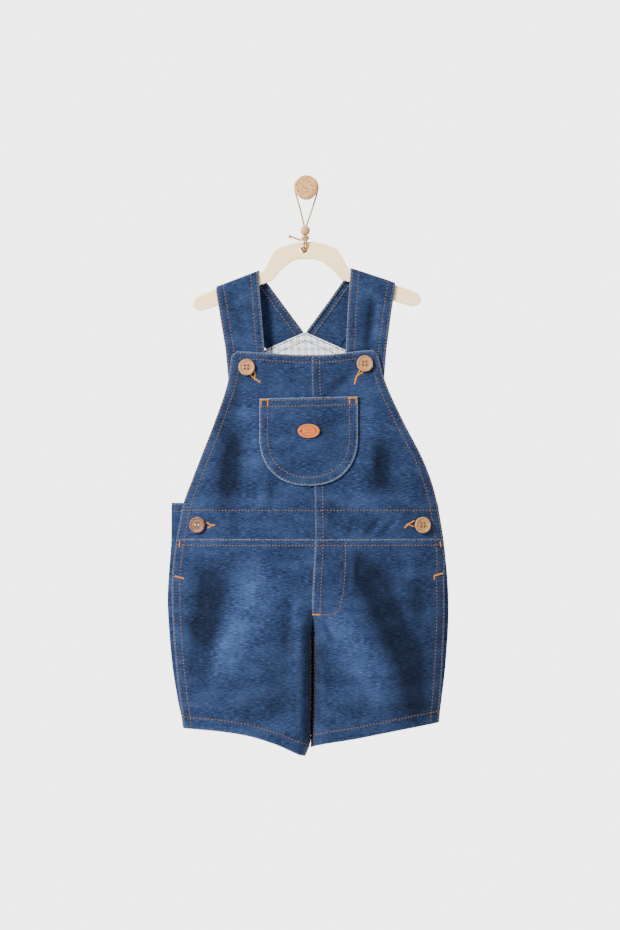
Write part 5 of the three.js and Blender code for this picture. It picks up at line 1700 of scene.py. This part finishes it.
class BackOperator(bpy.types.Operator):
    """Adds the upper back, the waist band and the legs' back panels"""

    bl_idname = "dungarees.add_back"
    bl_label = "Back"

    def execute(self, context):
        grid, wear = gable_grid(BACK_DEPTH, UPPER_BACK_BOTTOM_Z, 72, 84, (NEAR_ROW, FAR_ROW))
        folds = (BACK_FOLDS, BACK_CREASES)
        upper = cloth_object("back_bib_cloth", grid, CLOTH, RIGHT, wear, folds)
        finish_piece(upper, material("denim"), "denim", "back_bib")
        grid, wear = waist_grid()
        waist = cloth_object("back_waist_cloth", grid, CLOTH, RIGHT, wear, folds)
        finish_piece(waist, material("denim"), "denim", "back_waist")
        for side in (LEFT, RIGHT):
            name = side_name(side)
            grid, wear = back_leg_grid(side)
            piece = cloth_object(f"back_leg_{name}_cloth", grid, CLOTH, -side, wear, folds)
            finish_piece(piece, material("denim"), "denim", f"back_leg_{name}")
        return {"FINISHED"}


class FacingOperator(bpy.types.Operator):
    """Adds the gingham facing inside the back's peak"""

    bl_idname = "dungarees.add_facing"
    bl_label = "Back Facing"

    def execute(self, context):
        grid, wear = gable_grid(FACING_DEPTH, FACING_BOTTOM_Z, 50, 16, (NEAR_ROW, FAR_ROW))
        piece = cloth_object("back_facing_cloth", grid, FACING_THICKNESS, LEFT, wear, ())
        finish_piece(piece, material("gingham"), "gingham", "back_facing")
        return {"FINISHED"}


class StrapsOperator(bpy.types.Operator):
    """Adds the two shoulder straps"""

    bl_idname = "dungarees.add_straps"
    bl_label = "Straps"

    def execute(self, context):
        for side in (LEFT, RIGHT):
            name = side_name(side)
            grid, wear, uv = strap_grid(side)
            folds = (STRAP_CREASES[side],)
            piece = cloth_object(f"strap_{name}_cloth", grid, STRAP_THICKNESS, side, wear, folds, uv)
            finish_piece(piece, material("denim"), "denim", f"strap_{name}")
        return {"FINISHED"}


class PocketOperator(bpy.types.Operator):
    """Adds the bib pocket and its bare leather tag"""

    bl_idname = "dungarees.add_pocket"
    bl_label = "Pocket and Tag"

    def execute(self, context):
        grid, wear = pocket_grid()
        piece = cloth_object("bib_pocket_cloth", grid, CLOTH, LEFT, wear, (FRONT_FOLDS, CREASES))
        finish_piece(piece, material("denim"), "denim", "bib_pocket")
        self.add_tag()
        return {"FINISHED"}

    def add_tag(self):
        """The tag: ovals from its back's middle round its edge to its front's middle. Its pressed lines
        are an oval and a pair of short level lines, and its two holes are pits."""
        sides = 96
        share = np.concatenate([np.linspace(0.02, 0.97, 6), [1.0, 1.0, 0.985], np.linspace(0.96, 0.01, 44)])
        height = np.concatenate([np.zeros(6), [0.3, 0.85, 1.1], np.full(44, TAG_THICKNESS)])
        angle = np.linspace(0, 2 * math.pi, sides, endpoint=False)
        across = share[:, None] * TAG_HALF_WIDTH * np.cos(angle)
        up = share[:, None] * TAG_HALF_HEIGHT * np.sin(angle)
        on_top = (np.arange(len(share)) >= 9)[:, None]
        in_oval = np.hypot(across / (TAG_HALF_WIDTH * 0.64), up / (TAG_HALF_HEIGHT * 0.72))
        oval = bell((in_oval - 1.0) * 5.4, 0.3)
        rays = bell(np.abs(up) - 1.7, 0.22) * band(np.abs(across), 3.4, 0.4)
        from_hole = np.hypot(np.abs(across) - TAG_HOLE_AT, up)
        holes = 1 - smooth((from_hole - TAG_HOLE_RADIUS + 0.3) / 0.35)
        pressed = np.maximum(oval, rays) * on_top
        depth = height[:, None] - (0.3 * pressed + 0.9 * holes) * on_top
        face = float(front_at(np.array(TAG_X), np.array(TAG_Z))) + POCKET_GAP + CLOTH + TAG_GAP
        rings = np.stack([TAG_X + across, -(face + depth), TAG_Z + up], axis=-1)
        points, faces = ringed_solid(rings)
        worn = np.concatenate([np.maximum(pressed, holes * on_top).ravel(), [0.0, 0.0]])
        tag = make_object("pocket_tag_leather", points, faces, None, {"wear": worn})
        finish_piece(tag, material("leather"), "leather", "pocket_tag")
        self.add_tag_threads(face)

    def add_tag_threads(self, face):
        """The tag's two threads: each comes up through a hole, runs out over the tag and goes down at its
        end."""
        reach = np.linspace(0, 1, 17)
        rise = TAG_THICKNESS + 0.35 - 1.5 * np.abs(2 * reach - 1) ** 6
        parts = []
        for turn in (LEFT, RIGHT):
            x = TAG_X + turn * mix(TAG_HOLE_AT, TAG_HALF_WIDTH + 0.3, reach)
            path = np.stack([x, -(face + rise), np.full_like(reach, TAG_Z)], axis=-1)
            parts.append(tube(path, 0.42, 10, np.array([0.0, 0.0, 1.0])))
        threads = make_object("pocket_tag_threads", *joined(parts))
        finish_piece(threads, material("orange thread"), "thread")


class StitchingOperator(bpy.types.Operator):
    """Adds the rows of top-stitching, the bartacks and the buttonholes"""

    bl_idname = "dungarees.add_stitching"
    bl_label = "Stitching"

    def execute(self, context):
        pitch = context.scene.dungarees_sizes.stitch_pitch / MM
        groups = {
            "front_left_stitching": front_rows(LEFT),
            "front_right_stitching": front_rows(RIGHT) + [front_line(RIGHT, "leg", FLY_ROW)],
            "strap_stitching": strap_rows(LEFT) + strap_rows(RIGHT),
            "pocket_stitching": pocket_rows(),
            "back_stitching": back_rows(),
            "facing_stitching": facing_rows(),
        }
        for seed, (name, rows) in enumerate(groups.items()):
            points, faces = running_stitches(rows, pitch, seed)
            finish_piece(make_object(name, points, faces), material("tan thread"), "thread")
        self.add_satin()
        return {"FINISHED"}

    def add_satin(self):
        """The orange bartacks and keyhole buttonholes."""
        rows = [(*front_line(side, part, ends, 12), (width,)) for side, part, ends, width in BARTACKS]
        for side, first, second, meeting, tip in BUTTONHOLES:
            rows.append((*front_line(side, "bib", (first, meeting), 12), (1.9, 1.7)))
            rows.append((*front_line(side, "bib", (second, meeting), 12), (1.9, 1.7)))
            rows.append((*front_line(side, "bib", (meeting, tip), 12), (2.6, 2.0)))
        corner_x, top = POCKET_HALF_WIDTH - 0.6, POCKET_TOP_Z - 1.4
        for turn in (LEFT, RIGHT):
            x = np.linspace(POCKET_X + turn * corner_x, POCKET_X + turn * (corner_x - 9.4), 12)
            rows.append((*on_pocket(x, np.full(12, top) + POCKET_SLOPE * (x - POCKET_X)), (2.2,)))
            for inset in (NEAR_ROW, FAR_ROW):
                upright = np.full(12, POCKET_X + turn * (POCKET_HALF_WIDTH - inset))
                level = np.linspace(top, top - 6.4, 12) + POCKET_SLOPE * (upright - POCKET_X)
                rows.append((*on_pocket(upright, level), (1.5,)))
        points, faces = satin_stitches(rows)
        piece = make_object("bartacks_and_buttonholes", points, faces)
        finish_piece(piece, material("orange thread"), "thread")


class ButtonsOperator(bpy.types.Operator):
    """Adds the four wooden buttons and their sewing threads"""

    bl_idname = "dungarees.add_buttons"
    bl_label = "Buttons"

    def execute(self, context):
        for name, (x, z, wood, thread) in BUTTONS.items():
            piece = make_object(f"button_{name}_wood", *button_solid(x, z))
            finish_piece(piece, material(wood), "button_wood", f"button_{name}")
            threads = make_object(f"button_{name}_threads", *button_threads(x, z))
            finish_piece(threads, material(thread), "thread")
        return {"FINISHED"}


class HangerOperator(bpy.types.Operator):
    """Adds the birch hanger"""

    bl_idname = "dungarees.add_hanger"
    bl_label = "Hanger"

    def execute(self, context):
        angle = np.linspace(0, 2 * math.pi, 48, endpoint=False)
        across = HANGER_HOLE_X + HANGER_HOLE_RADIUS * np.cos(angle)
        hole = np.column_stack([across, HANGER_HOLE_RADIUS * np.sin(angle)])
        mesh = plate_with_hole(hanger_outline(), hole, ARM_THICKNESS, 0.9)
        flat = np.empty(3 * len(mesh.vertices), np.float32)
        mesh.vertices.foreach_get("co", flat)
        x, up, out = flat.reshape(-1, 3).T
        c, s = math.cos(HANGER_TILT), math.sin(HANGER_TILT)
        middle = (ARM_BACK + ARM_THICKNESS / 2) * MM
        placed_x = x * c - up * s + HANGER_X * MM
        placed_z = x * s + up * c + HANGER_Z * MM
        placed = np.stack([placed_x, -middle - out, placed_z], axis=1)
        mesh.vertices.foreach_set("co", placed.ravel().astype(np.float32))
        mesh.polygons.foreach_set("use_smooth", np.ones(len(mesh.polygons), bool))
        mesh.update()
        piece = bpy.data.objects.new("hanger_birch", mesh)
        context.scene.collection.objects.link(piece)
        finish_piece(piece, material("birch"), "birch", "hanger")
        return {"FINISHED"}


class KnobOperator(bpy.types.Operator):
    """Adds the cork knob on the wall"""

    bl_idname = "dungarees.add_knob"
    bl_label = "Knob"

    def execute(self, context):
        radii, depths = np.array(KNOB_PROFILE).T
        path = np.stack([np.zeros_like(depths), -depths, np.zeros_like(depths)], axis=-1)
        side = np.tile([1.0, 0.0, 0.0], (len(path), 1))
        up = np.tile([0.0, 0.0, 1.0], (len(path), 1))
        piece = make_object("wall_knob_cork", *ringed_solid(round_rings(path, radii, 72, side, up)))
        finish_piece(piece, material("cork"), "cork", "wall_knob")
        return {"FINISHED"}


class TwineOperator(bpy.types.Operator):
    """Adds the twine loop, its bead and its two knots"""

    bl_idname = "dungarees.add_twine"
    bl_label = "Twine and Bead"

    def execute(self, context):
        path = curve_through(to_points(LOOP_ROUTE), 460)
        across_wall = smooth((np.abs(path[:, 1]) - 13.5) / 2.0)[:, None]
        reference = unit(mix(np.array([1.0, 0.0, 0.0]), np.array([0.0, -1.0, 0.0]), across_wall))
        loop = strands(path, reference, STRAND_LAY, STRAND_RADIUS, STRAND_TWIST)
        turn = np.linspace(0, 2 * math.pi, 121)[:-1]
        size = (STOPPER_RADIUS - 1.2) / 3
        trefoil = np.stack([
            STOPPER_X + size * (np.sin(turn) + 2 * np.sin(2 * turn)),
            -STOPPER_DEPTH + (STOPPER_HALF_DEPTH - 1.2) * np.sin(3 * turn),
            STOPPER_Z + size * (np.cos(turn) - 2 * np.cos(2 * turn)),
        ], axis=-1)
        stopper = tube(trefoil, 1.2, 10, np.array([0.0, -1.0, 0.0]))
        piece = make_object("hang_loop_twine", *joined([loop, stopper]))
        finish_piece(piece, material("twine"), "twine", "hang_loop")
        self.add_knot()
        self.add_bead()
        return {"FINISHED"}

    def add_knot(self):
        """The knot below the bead: turns round both strands, and a free end whose fibres are frayed."""
        angle = np.linspace(0, KNOT_TURNS * 2 * math.pi, 13)
        turns = np.stack([
            KNOT_X + KNOT_RADIUS * np.cos(angle),
            KNOT_DEPTH + KNOT_RADIUS * np.sin(angle),
            KNOT_TOP_Z - KNOT_PITCH * angle / (2 * math.pi),
        ], axis=-1)
        path = curve_through(to_points(np.concatenate([turns, KNOT_FREE_END])), 200)
        parts = [strands(path, np.array([0.0, 0.3, 1.0]), STRAND_LAY, STRAND_RADIUS, STRAND_TWIST)]
        uneven = np.random.default_rng(7)
        along_fibre = np.linspace(0, 1, 9)[:, None]
        for _ in range(26):
            away = np.array([-3.4, 0.0, 1.2]) + uneven.normal(0, 1.1, 3)
            bend = uneven.normal(0, 0.9, 3)
            fibre = path[-1] + away * along_fibre + bend * along_fibre ** 2
            parts.append(tube(fibre, np.linspace(0.34, 0.12, 9), 5, np.array([0.1, 0.3, 1.0])))
        piece = make_object("twine_knot_fibres", *joined(parts))
        finish_piece(piece, material("twine"), "twine", "twine_knot")

    def add_bead(self):
        """The bead: a ball's arc from the lower rim of its bore to the upper, and the bore's wall back
        down."""
        open_angle = math.asin(BEAD_BORE / BEAD_RADIUS)
        angle = np.linspace(math.pi - open_angle, open_angle, 30)
        radii = np.concatenate([BEAD_RADIUS * np.sin(angle), np.full(10, BEAD_BORE - 0.12)])
        rise = BEAD_RADIUS * np.cos(open_angle) - 0.12
        heights = np.concatenate([BEAD_RADIUS * np.cos(angle), np.linspace(rise, -rise, 10)])
        middle = np.array([BEAD_X, -BEAD_DEPTH, BEAD_Z])
        path = middle + heights[:, None] * np.array([0.0, 0.0, 1.0])
        side = np.tile([1.0, 0.0, 0.0], (len(path), 1))
        up = np.tile([0.0, 1.0, 0.0], (len(path), 1))
        piece = make_object("bead_beech", *ringed_solid(round_rings(path, radii, 48, side, up), wrap=True))
        finish_piece(piece, material("bead wood"), "bead_wood", "bead")


OPERATORS = (
    StageOperator,
    KnobOperator,
    TwineOperator,
    HangerOperator,
    StrapsOperator,
    FacingOperator,
    BackOperator,
    BibOperator,
    FrontLegsOperator,
    PocketOperator,
    ButtonsOperator,
    StitchingOperator,
)


class DungareesPanel(bpy.types.Panel):
    """Lists the pieces and the settings"""

    bl_idname = "DUNGAREES_PT_pieces"
    bl_label = "Dungarees"
    bl_space_type = "VIEW_3D"
    bl_region_type = "UI"
    bl_category = "Dungarees"

    def draw(self, context):
        for operator in OPERATORS:
            self.layout.operator(operator.bl_idname)
        for settings in (context.scene.dungarees_sizes, context.scene.dungarees_colours):
            for key in settings.__annotations__:
                self.layout.prop(settings, key)


CLASSES = (DungareesSizes, DungareesColours, *OPERATORS, DungareesPanel)


def register():
    """Registers the classes and the settings."""
    for listed in CLASSES:
        bpy.utils.register_class(listed)
    bpy.types.Scene.dungarees_sizes = PointerProperty(type=DungareesSizes)
    bpy.types.Scene.dungarees_colours = PointerProperty(type=DungareesColours)


def unregister():
    """Removes the settings and the classes."""
    del bpy.types.Scene.dungarees_colours
    del bpy.types.Scene.dungarees_sizes
    for listed in reversed(CLASSES):
        bpy.utils.unregister_class(listed)


def main():
    register()
    for operator in OPERATORS:
        getattr(bpy.ops.dungarees, operator.bl_idname.split(".")[1])()


if __name__ == "__main__":
    main()
